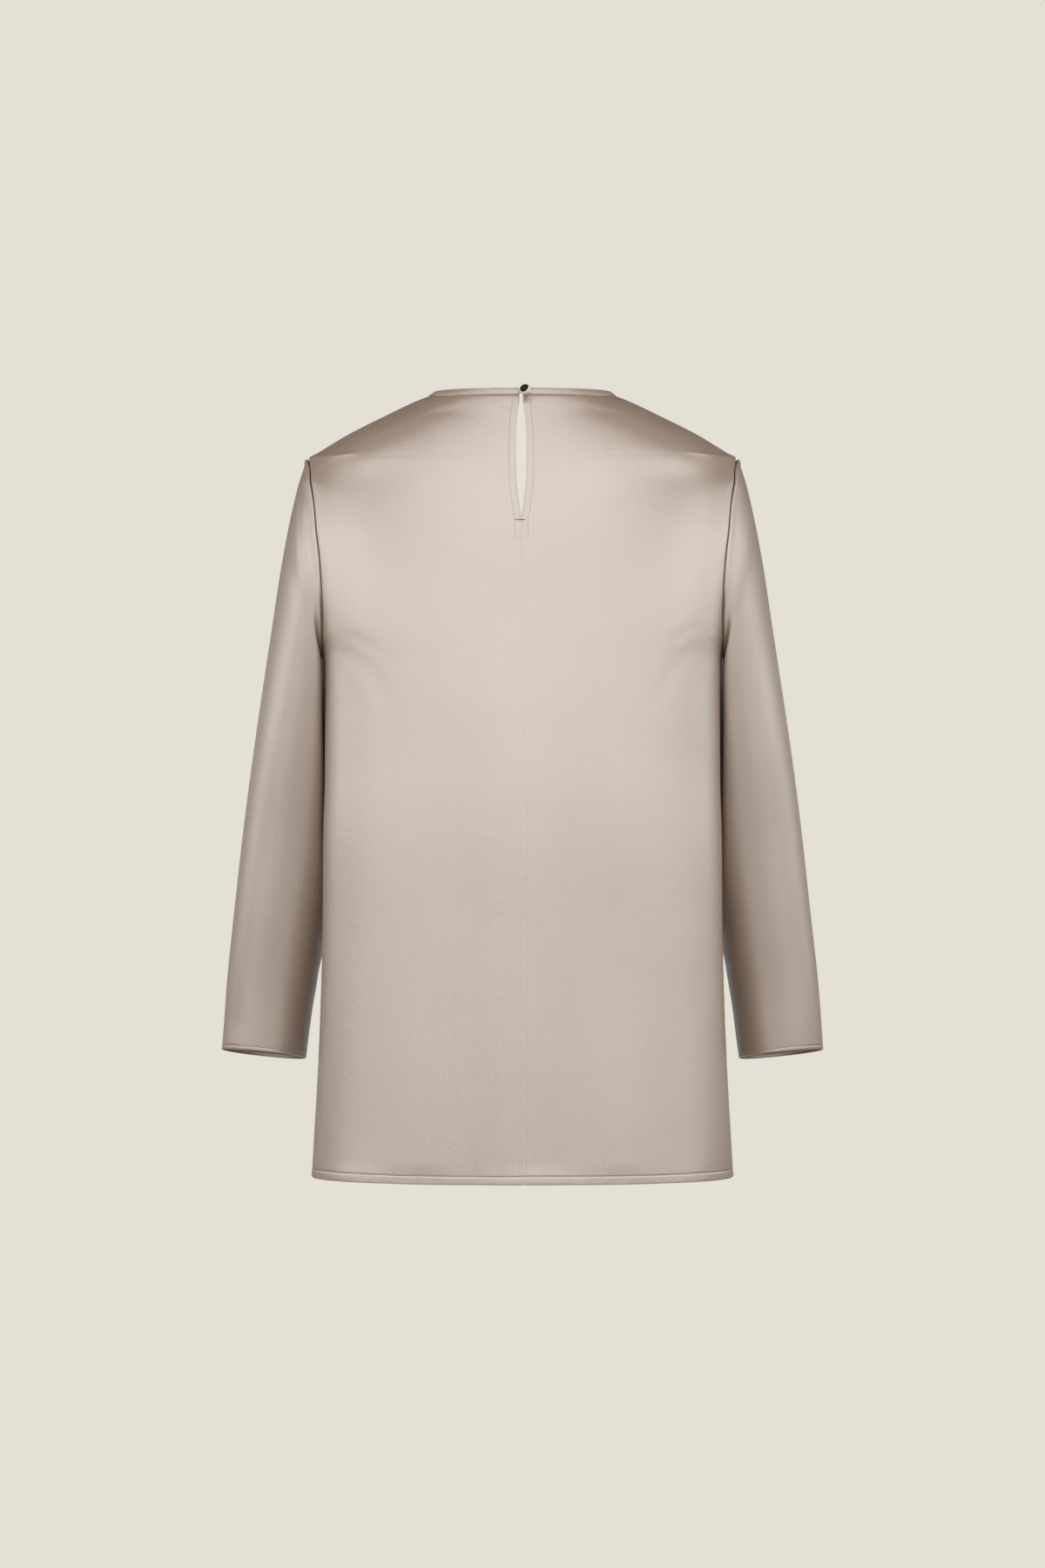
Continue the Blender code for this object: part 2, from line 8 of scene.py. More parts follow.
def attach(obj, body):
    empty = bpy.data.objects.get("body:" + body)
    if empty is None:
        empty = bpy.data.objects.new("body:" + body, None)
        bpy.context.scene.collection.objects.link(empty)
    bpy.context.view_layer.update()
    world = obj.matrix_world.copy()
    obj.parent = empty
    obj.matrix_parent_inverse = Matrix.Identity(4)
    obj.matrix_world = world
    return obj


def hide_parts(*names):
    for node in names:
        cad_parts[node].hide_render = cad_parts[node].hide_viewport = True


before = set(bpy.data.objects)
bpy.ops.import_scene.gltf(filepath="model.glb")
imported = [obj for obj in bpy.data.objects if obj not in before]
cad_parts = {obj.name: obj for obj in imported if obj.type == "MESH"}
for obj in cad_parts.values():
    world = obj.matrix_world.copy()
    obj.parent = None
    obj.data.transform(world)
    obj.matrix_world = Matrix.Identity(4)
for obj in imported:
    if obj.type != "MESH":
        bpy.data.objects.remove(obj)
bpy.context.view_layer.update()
scene = bpy.context.scene
print("frame loaded")

# Camera: level with the middle of the blouse, behind the wearer
camera = {
    "distance": 4.5,
    "height": -0.368,
    "frameHeight": 1.476,  # metres of the side plane that the frame's long side takes in
}
cameraData = bpy.data.cameras.new("photo_camera")
cameraData.lens = cameraData.sensor_width * camera["distance"] / camera["frameHeight"]
cameraObject = bpy.data.objects.new("photo_camera", cameraData)
cameraObject.location = (0.0, camera["distance"], camera["height"])
cameraObject.rotation_euler = (math.radians(90.0), 0.0, math.radians(180.0))
scene.collection.objects.link(cameraObject)
scene.camera = cameraObject
scene.view_settings.view_transform = "Standard"
print("camera placed")

# Cut of the blouse, in metres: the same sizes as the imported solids
cut = {
    "length": 0.736,
    "shoulderDrop": 0.0621,
    "underarmDrop": 0.250,
    "frontNeckDrop": 0.114,
    "neckRoundness": 1.25,
    "shoulderRoundness": 3.0,
    "armholeBackBite": 0.056,
    "armholeFrontBite": 0.062,
    "bindingWidth": 0.0065,
    "hemDepth": 0.007,
    "cuffHemDepth": 0.0030,
    "seamHalf": 0.0003,  # from a piece's edge row to the seam line
    "cloth": 0.0006,
    "hemCloth": 0.0013,
    "centreHalf": 0.00003,
    "centreCloth": 0.00005,
    "softening": 0.009,
    "softeningFade": 0.030,
    "sleeveClearance": 0.0022,
    "sleeveTurn": 86.0,
    "sleeveTurnFrom": 0.2333,
    "sleeveTurnTo": 0.9,
    "sleeveStartPull": 0.7,
    "sleeveUnderPull": 0.2,
    "sleeveInnerFlat": 0.84,
}
neckSlopes = {"side": 0.457, "back": 0.84, "front": 0.867}

# z, half width, back, front, side, back squareness, front squareness
bodySections = np.array((
    (0.0000, 0.0822, 0.0550, -0.0340, 0.000, 2.00, 2.00),
    (-0.0036, 0.0888, 0.0575, -0.0352, 0.000, 2.00, 2.00),
    (-0.0072, 0.0982, 0.0598, -0.0365, 0.000, 2.00, 2.00),
    (-0.0236, 0.1328, 0.0688, -0.0420, 0.000, 2.02, 2.01),
    (-0.0400, 0.1656, 0.0770, -0.0478, 0.000, 2.06, 2.03),
    (-0.0564, 0.1932, 0.0845, -0.0540, 0.000, 2.18, 2.09),
    (-0.0610, 0.2012, 0.0865, -0.0560, 0.000, 2.23, 2.11),
    (-0.0728, 0.2038, 0.0915, -0.0615, 0.001, 2.38, 2.18),
    (-0.0892, 0.2062, 0.0975, -0.0706, 0.002, 2.56, 2.25),
    (-0.1255, 0.2060, 0.1080, -0.0900, 0.004, 2.67, 2.30),
    (-0.1580, 0.2025, 0.1145, -0.1045, 0.007, 2.70, 2.30),
    (-0.1920, 0.1965, 0.1185, -0.1170, 0.010, 2.74, 2.28),
    (-0.2265, 0.1903, 0.1210, -0.1260, 0.014, 2.68, 2.20),
    (-0.2500, 0.1868, 0.1222, -0.1300, 0.016, 2.55, 2.15),
    (-0.3000, 0.1851, 0.1235, -0.1345, 0.018, 2.38, 2.08),
    (-0.3600, 0.1852, 0.1235, -0.1355, 0.018, 2.30, 2.05),
    (-0.4200, 0.1867, 0.1225, -0.1350, 0.017, 2.30, 2.05),
    (-0.5000, 0.1873, 0.1205, -0.1340, 0.015, 2.30, 2.05),
    (-0.6000, 0.1900, 0.1190, -0.1345, 0.013, 2.30, 2.05),
    (-0.7000, 0.1952, 0.1185, -0.1360, 0.012, 2.30, 2.05),
    (-0.7360, 0.1974, 0.1185, -0.1370, 0.012, 2.30, 2.05),
))
# z, place along X of the sewn centre back
centreBack = np.array((
    (0.000, 0.0013), (-0.150, 0.0010), (-0.300, 0.0000), (-0.450, -0.0040), (-0.600, -0.0030), (-0.736, -0.0022),
))
# z, half width of the keyhole
keyhole = np.array((
    (0.0000, 0.0018), (-0.0130, 0.0021), (-0.0200, 0.0032), (-0.0300, 0.0045), (-0.0470, 0.0054), (-0.0720, 0.0054),
    (-0.0860, 0.0050), (-0.1000, 0.0036), (-0.1100, 0.0024), (-0.1180, 0.0012), (-0.1235, 0.0000),
))
# angle, spread, depth of each soft flute above the hem
flutes = (
    (-150.0, 13.0, -0.0030), (-112.0, 10.0, 0.0026), (-62.0, 11.0, -0.0022), (-27.0, 9.0, -0.0016),
    (22.0, 10.0, -0.0018), (58.0, 9.0, -0.0020), (104.0, 11.0, 0.0028), (139.0, 12.0, -0.0032), (171.0, 11.0, 0.0018),
)
fluteStart = -0.34
# outer x, outer z, inner x, inner z, middle y, half depth, back lift, inner side's way forward of each sleeve ring
sleeveRings = np.array((
    (0.2120, -0.0950, 0.1840, -0.2620, 0.000, 0.062, 0.000, -0.014),
    (0.2246, -0.1500, 0.1745, -0.2900, -0.010, 0.066, 0.000, -0.030),
    (0.2375, -0.2250, 0.1695, -0.3250, -0.024, 0.067, 0.000, -0.034),
    (0.2511, -0.3100, 0.1685, -0.3750, -0.038, 0.064, 0.001, -0.028),
    (0.2642, -0.4000, 0.1720, -0.4400, -0.052, 0.059, 0.002, -0.014),
    (0.2754, -0.4900, 0.1880, -0.5150, -0.063, 0.053, 0.004, -0.003),
    (0.2833, -0.5600, 0.2003, -0.5780, -0.072, 0.049, 0.005, 0.0),
    (0.2880, -0.6225, 0.2076, -0.6305, -0.078, 0.0465, 0.005, 0.0),
))


def steadyCurve(knots, values):  # a smooth curve that never swings past its values
    steps = np.diff(knots)
    rises = np.diff(values) / steps
    slopes = np.zeros(len(knots))
    slopes[0], slopes[-1] = rises[0], rises[-1]
    for i in range(1, len(steps)):
        if rises[i - 1] * rises[i] > 0:
            slopes[i] = 2.0 / (1.0 / rises[i - 1] + 1.0 / rises[i])

    def read(place):
        place = np.clip(place, knots[0], knots[-1])
        i = np.clip(np.searchsorted(knots, place) - 1, 0, len(steps) - 1)
        t = (place - knots[i]) / steps[i]
        start = (1 + 2 * t) * (1 - t) ** 2 * values[i] + t * (1 - t) ** 2 * steps[i] * slopes[i]
        return start + t * t * (3 - 2 * t) * values[i + 1] - t * t * (1 - t) * steps[i] * slopes[i + 1]

    return read


halfWidthAt, backAt, frontAt, sideAt, backSquareAt, frontSquareAt = (
    steadyCurve(-bodySections[:, 0], bodySections[:, column]) for column in range(1, 7))
centreBackAt = steadyCurve(-centreBack[:, 0], centreBack[:, 1])
keyholeAt = steadyCurve(-keyhole[:, 0], keyhole[:, 1])


def ease(t):
    t = np.clip(t, 0.0, 1.0)
    return t * t * (3.0 - 2.0 * t)


def unit(vectors):
    return vectors / np.maximum(np.linalg.norm(vectors, axis=-1, keepdims=True), 1e-12)


def bodySection(face, z):  # face is 1 at the back and -1 at the front
    side = sideAt(-z)
    middle = np.where(face > 0, backAt(-z), frontAt(-z))
    squareness = np.where(face > 0, backSquareAt(-z), frontSquareAt(-z))
    return halfWidthAt(-z), side, (middle - side) * face, squareness


def bodyDepth(face, x, z):
    halfWidth, side, depth, squareness = bodySection(face, z)
    inside = np.clip(1.0 - np.abs(x / halfWidth) ** squareness, 0.0, 1.0)
    return side + face * depth * inside ** (1.0 / squareness)


def softDepth(face, x, z):  # the same depth, its slope evened out down the cloth away from the shoulder's edge
    weight = ease((halfWidthAt(-(z + cut["softening"] * 1.6)) - np.abs(x)) / cut["softeningFade"])
    offsets = np.linspace(-2.4, 2.4, 13)
    shares = np.exp(-0.5 * offsets ** 2)
    depths = [bodyDepth(face, x, z + offset * cut["softening"]) for offset in offsets]
    mean = sum(share * depth for share, depth in zip(shares, depths)) / shares.sum()
    plain = bodyDepth(face, x, z)
    return plain + weight * (mean - plain)


def bodySide(face, y, z):
    halfWidth, side, depth, squareness = bodySection(face, z)
    inside = np.clip(1.0 - np.abs((y - side) / depth) ** squareness, 0.0, 1.0)
    return halfWidth * inside ** (1.0 / squareness)


def bodyNormals(points):
    face = np.where(points[..., 1] > sideAt(-points[..., 2]), 1, -1)

    def level(x, y, z):
        halfWidth, side, depth, squareness = bodySection(face, z)
        return (np.abs(x) / halfWidth) ** squareness + (np.abs(y - side) / depth) ** squareness

    x, y, z = points[..., 0], points[..., 1], points[..., 2]
    step = 0.0002
    return unit(np.stack((level(x + step, y, z) - level(x - step, y, z),
                          level(x, y + step, z) - level(x, y - step, z),
                          level(x, y, z + step) - level(x, y, z - step)), axis=-1))


def flute(points):
    angle = np.degrees(np.arctan2(points[..., 0], points[..., 1] - sideAt(-points[..., 2])))
    growth = ease((points[..., 2] - fluteStart) / (-cut["length"] - fluteStart))
    move = sum(depth * np.exp(-(((angle - middle + 180.0) % 360.0 - 180.0) / spread) ** 2)
               for middle, spread, depth in flutes) * growth
    turned = np.radians(angle)
    return points + np.stack((np.sin(turned) * move, np.cos(turned) * move, np.zeros_like(move)), axis=-1)


def sideEdge(face, z):
    share = np.clip((-cut["shoulderDrop"] - z) / (cut["underarmDrop"] - cut["shoulderDrop"]), 0.0, 1.0)
    bite = cut["armholeBackBite"] if face > 0 else cut["armholeFrontBite"]
    return np.maximum(cut["seamHalf"], bite * 2.0 * np.sqrt(share * (1.0 - share)))


def panelGrid(face, heights, drops, starts, shares):  # rows from the neck down, columns out to the side
    z = np.asarray(heights)[:, None]
    drop, start, u = np.asarray(drops)[:, None], np.asarray(starts)[:, None], np.asarray(shares)[None, :]
    halfWidth, side, depth, squareness = bodySection(face, z)
    edge = sideEdge(face, z)
    reach = (1.0 - (edge / depth) ** squareness) ** (1.0 / squareness)
    widest = np.arcsin(np.minimum(1.0, reach ** (squareness / 2.0)))
    x = start + (halfWidth * reach - start) * (np.sin(widest * u) / np.sin(widest)) ** (2.0 / squareness)
    roundness = cut["neckRoundness"] + (cut["shoulderRoundness"] - cut["neckRoundness"]) * ease(-z / cut["shoulderDrop"])
    low = z - drop * np.cos(u * math.pi / 2.0) ** roundness
    nearNeck = ease((z[0] - z) / 0.02)
    y = bodyDepth(face, x, low)
    y += nearNeck * (softDepth(face, x, low) - y)
    y[:, -1] = (side + face * edge)[:, 0]
    return flute(np.stack((x, y, low), axis=-1))


def neckRow(face, width):
    side = -neckSlopes["side"] * width
    if face > 0:
        return side, (neckSlopes["back"] - neckSlopes["side"]) * width
    return side, cut["frontNeckDrop"] + (neckSlopes["front"] - neckSlopes["side"]) * width


def crowded(count, crowding):  # shares from 0 to 1, closer together at both ends
    t = np.linspace(0.0, 1.0, count + 1)
    return t - crowding * np.sin(2.0 * math.pi * t) / (2.0 * math.pi)


def panelHeights(face):
    top, firstDrop = neckRow(face, cut["bindingWidth"] + cut["seamHalf"])
    shoulder, underarm = -cut["shoulderDrop"], -cut["underarmDrop"]
    hem, bottom = -cut["length"] + cut["hemDepth"], -cut["length"] + 0.0006
    heights = np.concatenate((
        top + (shoulder - top) * crowded(44, 0.5)[:-1],
        shoulder + (underarm - shoulder) * (1.0 - np.cos(np.linspace(0.0, math.pi, 91)[:-1])) / 2.0,
        np.linspace(underarm, hem + 0.014, 111)[:-1],
        np.linspace(hem + 0.014, hem + 0.0024, 9)[:-1],
        np.linspace(hem + 0.0024, hem, 5)[:-1],
        hem + (bottom - hem) * crowded(12, 0.3),
    ))
    return heights, firstDrop * (1.0 - ease((top - heights) / (top - underarm)))


def centreStart(side, z):
    return side * centreBackAt(-z) + np.maximum(cut["centreHalf"], keyholeAt(-z))


def wander(seed, length):  # an uneven wave along a line, from -1 to 1
    marks = np.random.default_rng(seed).uniform(-1.0, 1.0, 512)

    def read(place):
        place = np.asarray(place) / length + 100.37
        i = np.floor(place).astype(int)
        t = ease(place - i)
        return marks[i % 512] * (1.0 - t) + marks[(i + 1) % 512] * t

    return read


def cloud(seed, across, down):  # an uneven swell over a surface, from -1 to 1
    marks = np.random.default_rng(seed).uniform(-1.0, 1.0, (64, 64))

    def read(u, v):
        u, v = u / across + 20.4, v / down + 20.6
        i, j = np.floor(u).astype(int), np.floor(v).astype(int)
        s, t = ease(u - i), ease(v - j)
        upper = marks[i % 64, j % 64] * (1.0 - s) + marks[(i + 1) % 64, j % 64] * s
        lower = marks[i % 64, (j + 1) % 64] * (1.0 - s) + marks[(i + 1) % 64, (j + 1) % 64] * s
        return upper * (1.0 - t) + lower * t

    return read


def creaseRelief(u, v, creases):  # each crease runs from one point to another with a slight bow
    relief = np.zeros_like(u)
    for startU, startV, endU, endV, bow, width, depth in creases:
        line = np.array((endU - startU, endV - startV))
        length = math.hypot(*line)
        along = ((u - startU) * line[0] + (v - startV) * line[1]) / length ** 2
        away = ((u - startU) * line[1] - (v - startV) * line[0]) / length
        inside = np.clip(along, 0.0, 1.0)
        away = away - bow * np.sin(math.pi * inside)
        beyond = (along - inside) * length / width
        relief += depth * np.exp(-(away / width) ** 2 - beyond ** 2) * np.sin(math.pi * np.clip(along, 0.02, 0.98)) ** 0.7
    return relief


def seamRelief(distance, along, look, seed):  # both sides of a seam sink to it, roll beside it and pucker
    relief = -look["ditch"] * np.exp(-(distance / look["ditchWidth"]) ** 2)
    relief += look["roll"] * np.exp(-((distance - look["rollPlace"]) / look["rollWidth"]) ** 2)
    waver = wander(seed, look["puckerLength"])(along) + 0.5 * wander(seed + 1, look["puckerLength"] * 2.7)(along)
    return relief + look["pucker"] * waver * np.exp(-distance / look["puckerReach"])


def hemRelief(distance, along, depth, look, seed):
    depth = depth + look["stray"] * wander(seed + 2, 0.031)(along)
    band = ease((depth - distance) / 0.0008 + 0.5)
    relief = -look["bite"] * np.exp(-((distance - depth) / look["biteWidth"]) ** 2)
    relief += look["swell"] * np.sin(math.pi * np.clip(distance / depth, 0.0, 1.0)) ** 0.5
    relief += look["roping"] * wander(seed, look["ropingLength"])(along + 1.3 * distance) * band
    above = np.clip(distance - depth, 0.0, None)
    waver = wander(seed + 1, look["puckerLength"])(along - 0.3 * distance)
    return relief + look["pucker"] * waver * np.exp(-above / look["puckerReach"]) * (1.0 - 0.5 * band)


def arcs(grid, axis):  # distances along the rows or columns of a grid
    steps = np.linalg.norm(np.diff(grid, axis=axis), axis=2)
    zero = np.zeros_like(np.take(steps, [0], axis=axis))
    return np.concatenate((zero, np.cumsum(steps, axis=axis)), axis=axis)


def gridNormals(grid, closed):
    if closed:
        around = np.roll(grid, -1, axis=1) - np.roll(grid, 1, axis=1)
    else:
        around = np.gradient(grid, axis=1)
    return unit(np.cross(around, np.gradient(grid, axis=0)))


roundTurns = np.radians((0.0, 40.0, 68.0, 90.0))  # how a cloth edge rounds over


def shellMesh(name, outer, normals, thickness, u, v, closed):  # a thin wall with rounded edges all round
    rows, columns = outer.shape[:2]
    half = thickness / 2.0
    extra = len(roundTurns) - 1
    rowSource = np.concatenate((np.zeros(extra, int), np.arange(rows), np.full(extra, rows - 1)))
    rowTurn = np.concatenate((roundTurns[:0:-1], np.zeros(rows), roundTurns[1:]))
    if closed:
        columnSource, columnTurn = np.arange(columns), np.zeros(columns)
    else:
        columnSource = np.concatenate((np.zeros(extra, int), np.arange(columns), np.full(extra, columns - 1)))
        columnTurn = np.concatenate((roundTurns[:0:-1], np.zeros(columns), roundTurns[1:]))
    outRow = np.where((rowSource == 0)[:, None, None], unit(outer[0] - outer[1]), unit(outer[-1] - outer[-2]))
    at = np.ix_(rowSource, columnSource)
    place, facing, depth = outer[at], normals[at], half[at][..., None]
    place = place + outRow[:, columnSource] * depth * np.sin(rowTurn)[:, None, None]
    if not closed:
        left, right = unit(outer[:, 0] - outer[:, 1]), unit(outer[:, -1] - outer[:, -2])
        outColumn = np.where((columnSource == 0)[None, :, None], left[rowSource][:, None], right[rowSource][:, None])
        place = place + outColumn * depth * np.sin(columnTurn)[None, :, None]
    share = (np.cos(rowTurn)[:, None] * np.cos(columnTurn)[None, :])[..., None]
    share[share < 1e-9] = 0.0
    outside = place + facing * depth * (share - 1.0)
    inside = place - facing * depth * (share + 1.0)
    count = place.shape[0] * place.shape[1]
    outerIndex = np.arange(count).reshape(place.shape[:2])
    own = share[..., 0] > 0.0
    innerIndex = outerIndex.copy()
    innerIndex[own] = count + np.arange(own.sum())
    points = np.concatenate((outside.reshape(-1, 3), inside[own]))
    i = np.arange(place.shape[0] - 1)[:, None]
    j = np.arange(place.shape[1] if closed else place.shape[1] - 1)[None, :]
    after = (j + 1) % place.shape[1]
    corners = [(i, j), (i, after), (i + 1, after), (i + 1, j)]
    middle = rows // 2, columns // 3
    here = outer[middle]
    turn = np.cross(outer[middle[0], middle[1] + 1] - here, outer[middle[0] + 1, middle[1]] - here)
    order = [0, 1, 2, 3] if np.dot(turn, normals[middle]) > 0 else [3, 2, 1, 0]
    faces, uvs = [], []
    uAt, vAt = u[at], v[at]
    if closed:
        uAt = np.concatenate((uAt, uAt[:, :1] + u.max() + (u[:, 1:2] - u[:, 0:1])[rowSource]), axis=1)
        vAt = np.concatenate((vAt, vAt[:, :1]), axis=1)
    places = [(i, j), (i, j + 1), (i + 1, j + 1), (i + 1, j)]
    for index, turns in ((outerIndex, order), (innerIndex, order[::-1])):
        faces.append(np.stack([index[corners[k]] for k in turns], axis=-1).reshape(-1, 4))
        spots = [np.stack((uAt[places[k]], vAt[places[k]]), axis=-1) for k in turns]
        uvs.append(np.stack(spots, axis=-2).reshape(-1, 2))
    mesh = bpy.data.meshes.new(name)
    mesh.from_pydata(points.tolist(), [], np.concatenate(faces).tolist())
    layer = mesh.uv_layers.new(name="cloth")
    layer.data.foreach_set("uv", np.concatenate(uvs).astype(np.float32).ravel())
    mesh.shade_smooth()
    return mesh


def addPiece(name, mesh, material, nodes=()):
    piece = bpy.data.objects.new(name, mesh)
    if not mesh.materials:
        mesh.materials.append(material)
    scene.collection.objects.link(piece)
    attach(piece, "root")
    if nodes:
        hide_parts(*nodes)
    return piece


# Materials
satinLook = {
    "colour": (0.300, 0.220, 0.163),
    "deepColour": (0.268, 0.194, 0.142),
    "roughness": 0.34,
    "roughnessSpread": 0.06,
    "specular": 1.0,
    "ior": 2.1,
    "anisotropy": 0.6,
    "ribPitch": 0.00062,  # slanting ribs of the satin weave
    "ribDepth": 0.00002,
    "threadPitch": 0.00022,
    "threadsDown": 55.0,
    "streakDepth": 0.00006,
    "grainSize": (260.0, 200.0),
    "grainDepth": 0.00020,
    "blotch": 9.0,
}


def buildNodes(tree, made, nodes, links):  # nodes: kind, place, settings, inputs; links: "node.output > node.input"
    for name, (kind, place, settings, values) in nodes.items():
        node = made[name] = tree.nodes.new(kind)
        node.location = place
        for setting, value in settings.items():
            setattr(node, setting, value)
        for socket, value in values.items():
            node.inputs[socket].default_value = value
    for link in links:
        (start, output), (end, socket) = (part.split(".") for part in link.split(" > "))
        socket = int(socket) if socket.isdigit() else socket
        tree.links.new(made[start].outputs[output], made[end].inputs[socket])
    return tree


def newMaterial(name, shaderValues, nodes, links):
    material = bpy.data.materials.new(name)
    material.use_nodes = True
    tree = material.node_tree
    shader = tree.nodes["Principled BSDF"]
    for socket, value in shaderValues.items():
        shader.inputs[socket].default_value = value
    buildNodes(tree, {"shader": shader}, nodes, links)
    return material


def shaded(colour, share=1.0):
    return (*(value * share for value in colour), 1.0)


def satinMaterial(name, look, tint=1.0):
    values = {"IOR": look["ior"], "Specular IOR Level": look["specular"], "Anisotropic": look["anisotropy"]}
    low, high = look["roughness"] - look["roughnessSpread"], look["roughness"] + look["roughnessSpread"]
    return newMaterial(name, values, {
        "cloth": ("ShaderNodeUVMap", (-1500, 0), {"uv_map": "cloth"}, {}),
        "tangent": ("ShaderNodeTangent", (-300, -420), {"direction_type": "UV_MAP", "uv_map": "cloth"}, {}),
        "rib": ("ShaderNodeTexWave", (-1000, 100), {"wave_type": "BANDS", "bands_direction": "DIAGONAL"},
                {"Scale": 0.314 / look["ribPitch"], "Distortion": 1.2, "Detail": 1.0, "Detail Scale": 0.4}),
        "warp": ("ShaderNodeMapping", (-1250, -250), {}, {"Scale": (1.0 / look["threadPitch"], look["threadsDown"], 1.0)}),
        "threads": ("ShaderNodeTexNoise", (-1000, -250), {}, {"Scale": 1.0, "Detail": 2.0}),
        "broad": ("ShaderNodeMapping", (-1250, -600), {}, {"Scale": (look["blotch"], look["blotch"] * 0.6, 1.0)}),
        "blotches": ("ShaderNodeTexNoise", (-1000, -600), {}, {"Scale": 1.0, "Detail": 4.0}),
        "crepe": ("ShaderNodeMapping", (-1250, -900), {}, {"Scale": (*look["grainSize"], 1.0)}),
        "grain": ("ShaderNodeTexNoise", (-1000, -900), {}, {"Scale": 1.0, "Detail": 5.0, "Roughness": 0.72}),
        "colour": ("ShaderNodeMix", (-500, 250), {"data_type": "RGBA"},
                   {"A": shaded(look["deepColour"], tint), "B": shaded(look["colour"], tint)}),
        "shade": ("ShaderNodeMapRange", (-750, 250), {}, {"From Min": 0.35, "From Max": 0.62, "To Min": 0.35}),
        "speckRange": ("ShaderNodeMapRange", (-800, -60), {}, {"From Min": 0.3, "From Max": 0.7, "To Min": 0.5}),
        "speck": ("ShaderNodeMath", (-620, 60), {"operation": "MULTIPLY"}, {}),
        "rough": ("ShaderNodeMapRange", (-500, -120), {}, {"To Min": low, "To Max": high}),
        "ribBump": ("ShaderNodeBump", (-500, -420), {}, {"Strength": 1.0, "Distance": look["ribDepth"]}),
        "threadBump": ("ShaderNodeBump", (-500, -640), {}, {"Strength": 1.0, "Distance": look["streakDepth"]}),
        "grainBump": ("ShaderNodeBump", (-500, -860), {}, {"Strength": 1.0, "Distance": look["grainDepth"]}),
    }, (
        "tangent.Tangent > shader.Tangent", "cloth.UV > rib.Vector", "cloth.UV > warp.Vector",
        "warp.Vector > threads.Vector", "cloth.UV > broad.Vector", "broad.Vector > blotches.Vector", "blotches.Fac > shade.Value",
        "shade.Result > speck.0", "speckRange.Result > speck.1", "speck.Value > colour.Factor",
        "colour.Result > shader.Base Color", "threads.Fac > rough.Value", "rough.Result > shader.Roughness",
        "rib.Fac > ribBump.Height", "threads.Fac > threadBump.Height", "threadBump.Normal > ribBump.Normal",
        "cloth.UV > crepe.Vector", "crepe.Vector > grain.Vector", "grain.Fac > grainBump.Height",
        "grain.Fac > speckRange.Value", "grainBump.Normal > threadBump.Normal", "ribBump.Normal > shader.Normal",
    ))


satin = satinMaterial("satin_cloth", satinLook)
satinTrim = satinMaterial("satin_binding", {**satinLook, "roughness": 0.44, "ribPitch": 0.0005}, 1.02)

threadLook = {"colour": (0.20, 0.145, 0.105), "roughness": 0.55, "sheen": 0.3, "twist": 1400.0, "twistDepth": 0.00005}


def threadMaterial(name, look):
    material = newMaterial(name, {"Roughness": look["roughness"], "Sheen Weight": look["sheen"]}, {
        "place": ("ShaderNodeTexCoord", (-900, 0), {}, {}),
        "noise": ("ShaderNodeTexNoise", (-700, 0), {}, {"Scale": look["twist"]}),
        "ramp": ("ShaderNodeValToRGB", (-450, 120), {}, {}),
        "bump": ("ShaderNodeBump", (-450, -200), {}, {"Distance": look["twistDepth"]}),
    }, (
        "place.Object > noise.Vector", "noise.Fac > ramp.Fac", "ramp.Color > shader.Base Color",
        "noise.Fac > bump.Height", "bump.Normal > shader.Normal",
    ))
    ramp = next(node for node in material.node_tree.nodes if node.type == "VALTORGB").color_ramp
    for stop, share in zip(ramp.elements, (0.75, 1.15)):
        stop.color = shaded(look["colour"], share)
    return material


thread = threadMaterial("sewing_thread", threadLook)
print("satin and thread materials made")

# Seams and hems
seamLook = {
    "ditch": 0.00035, "ditchWidth": 0.0008, "roll": 0.00012, "rollPlace": 0.0030, "rollWidth": 0.0022,
    "pucker": 0.00010, "puckerLength": 0.0075, "puckerReach": 0.009,
}
centreSeamLook = {**seamLook, "ditch": 0.00003, "ditchWidth": 0.0006, "roll": 0.00004, "pucker": 0.00006}
armholeLook = {
    "ditch": 0.0006, "ditchWidth": 0.0010, "roll": 0.00015, "rollPlace": 0.0032, "rollWidth": 0.0022,
    "pucker": 0.00012, "puckerLength": 0.0085, "puckerReach": 0.010,
    "wedge": 0.0012, "wedgeWidth": 0.0030, "wedgeLength": 0.028,
    "tipFall": 0.0024, "tipPlace": (0.2, 0.002), "tipWidth": 0.045, "tipAbove": 0.030, "tipBelow": 0.024, "tipEdge": 0.02,
}
sleeveHeadLook = {**armholeLook, "roll": 0.0009, "rollPlace": 0.0034, "rollWidth": 0.0028}
hemLook = {
    "stray": 0.00035, "bite": 0.00040, "biteWidth": 0.0006, "swell": 0.00010, "roping": 0.00010, "ropingLength": 0.010,
    "pucker": 0.00015, "puckerLength": 0.011, "puckerReach": 0.014,
}
cuffLook = {**hemLook, "bite": 0.00050, "swell": 0.00022, "ropingLength": 0.007, "pucker": 0.00010}
neckLook = {**seamLook, "ditch": 0.0004, "ditchWidth": 0.0009, "roll": 0.00005, "pucker": 0.00010, "puckerReach": 0.007}


def fromEdges(grid, columns):  # distance from each point to the side edges, the place along the edge and its z
    edge = np.concatenate([grid[:, column] for column in columns])
    down = arcs(grid, 0)
    place = np.concatenate([down[:, column] for column in columns])
    made = []
    for row in grid:
        away = np.linalg.norm(row[:, None] - edge[None], axis=2)
        near = away.min(axis=1)
        share = np.exp((near[:, None] ** 2 - away ** 2) / 0.004 ** 2)
        share /= share.sum(axis=1, keepdims=True)
        made.append((near, share @ place, share @ edge[:, 2]))
    return np.array(made).transpose(1, 0, 2)


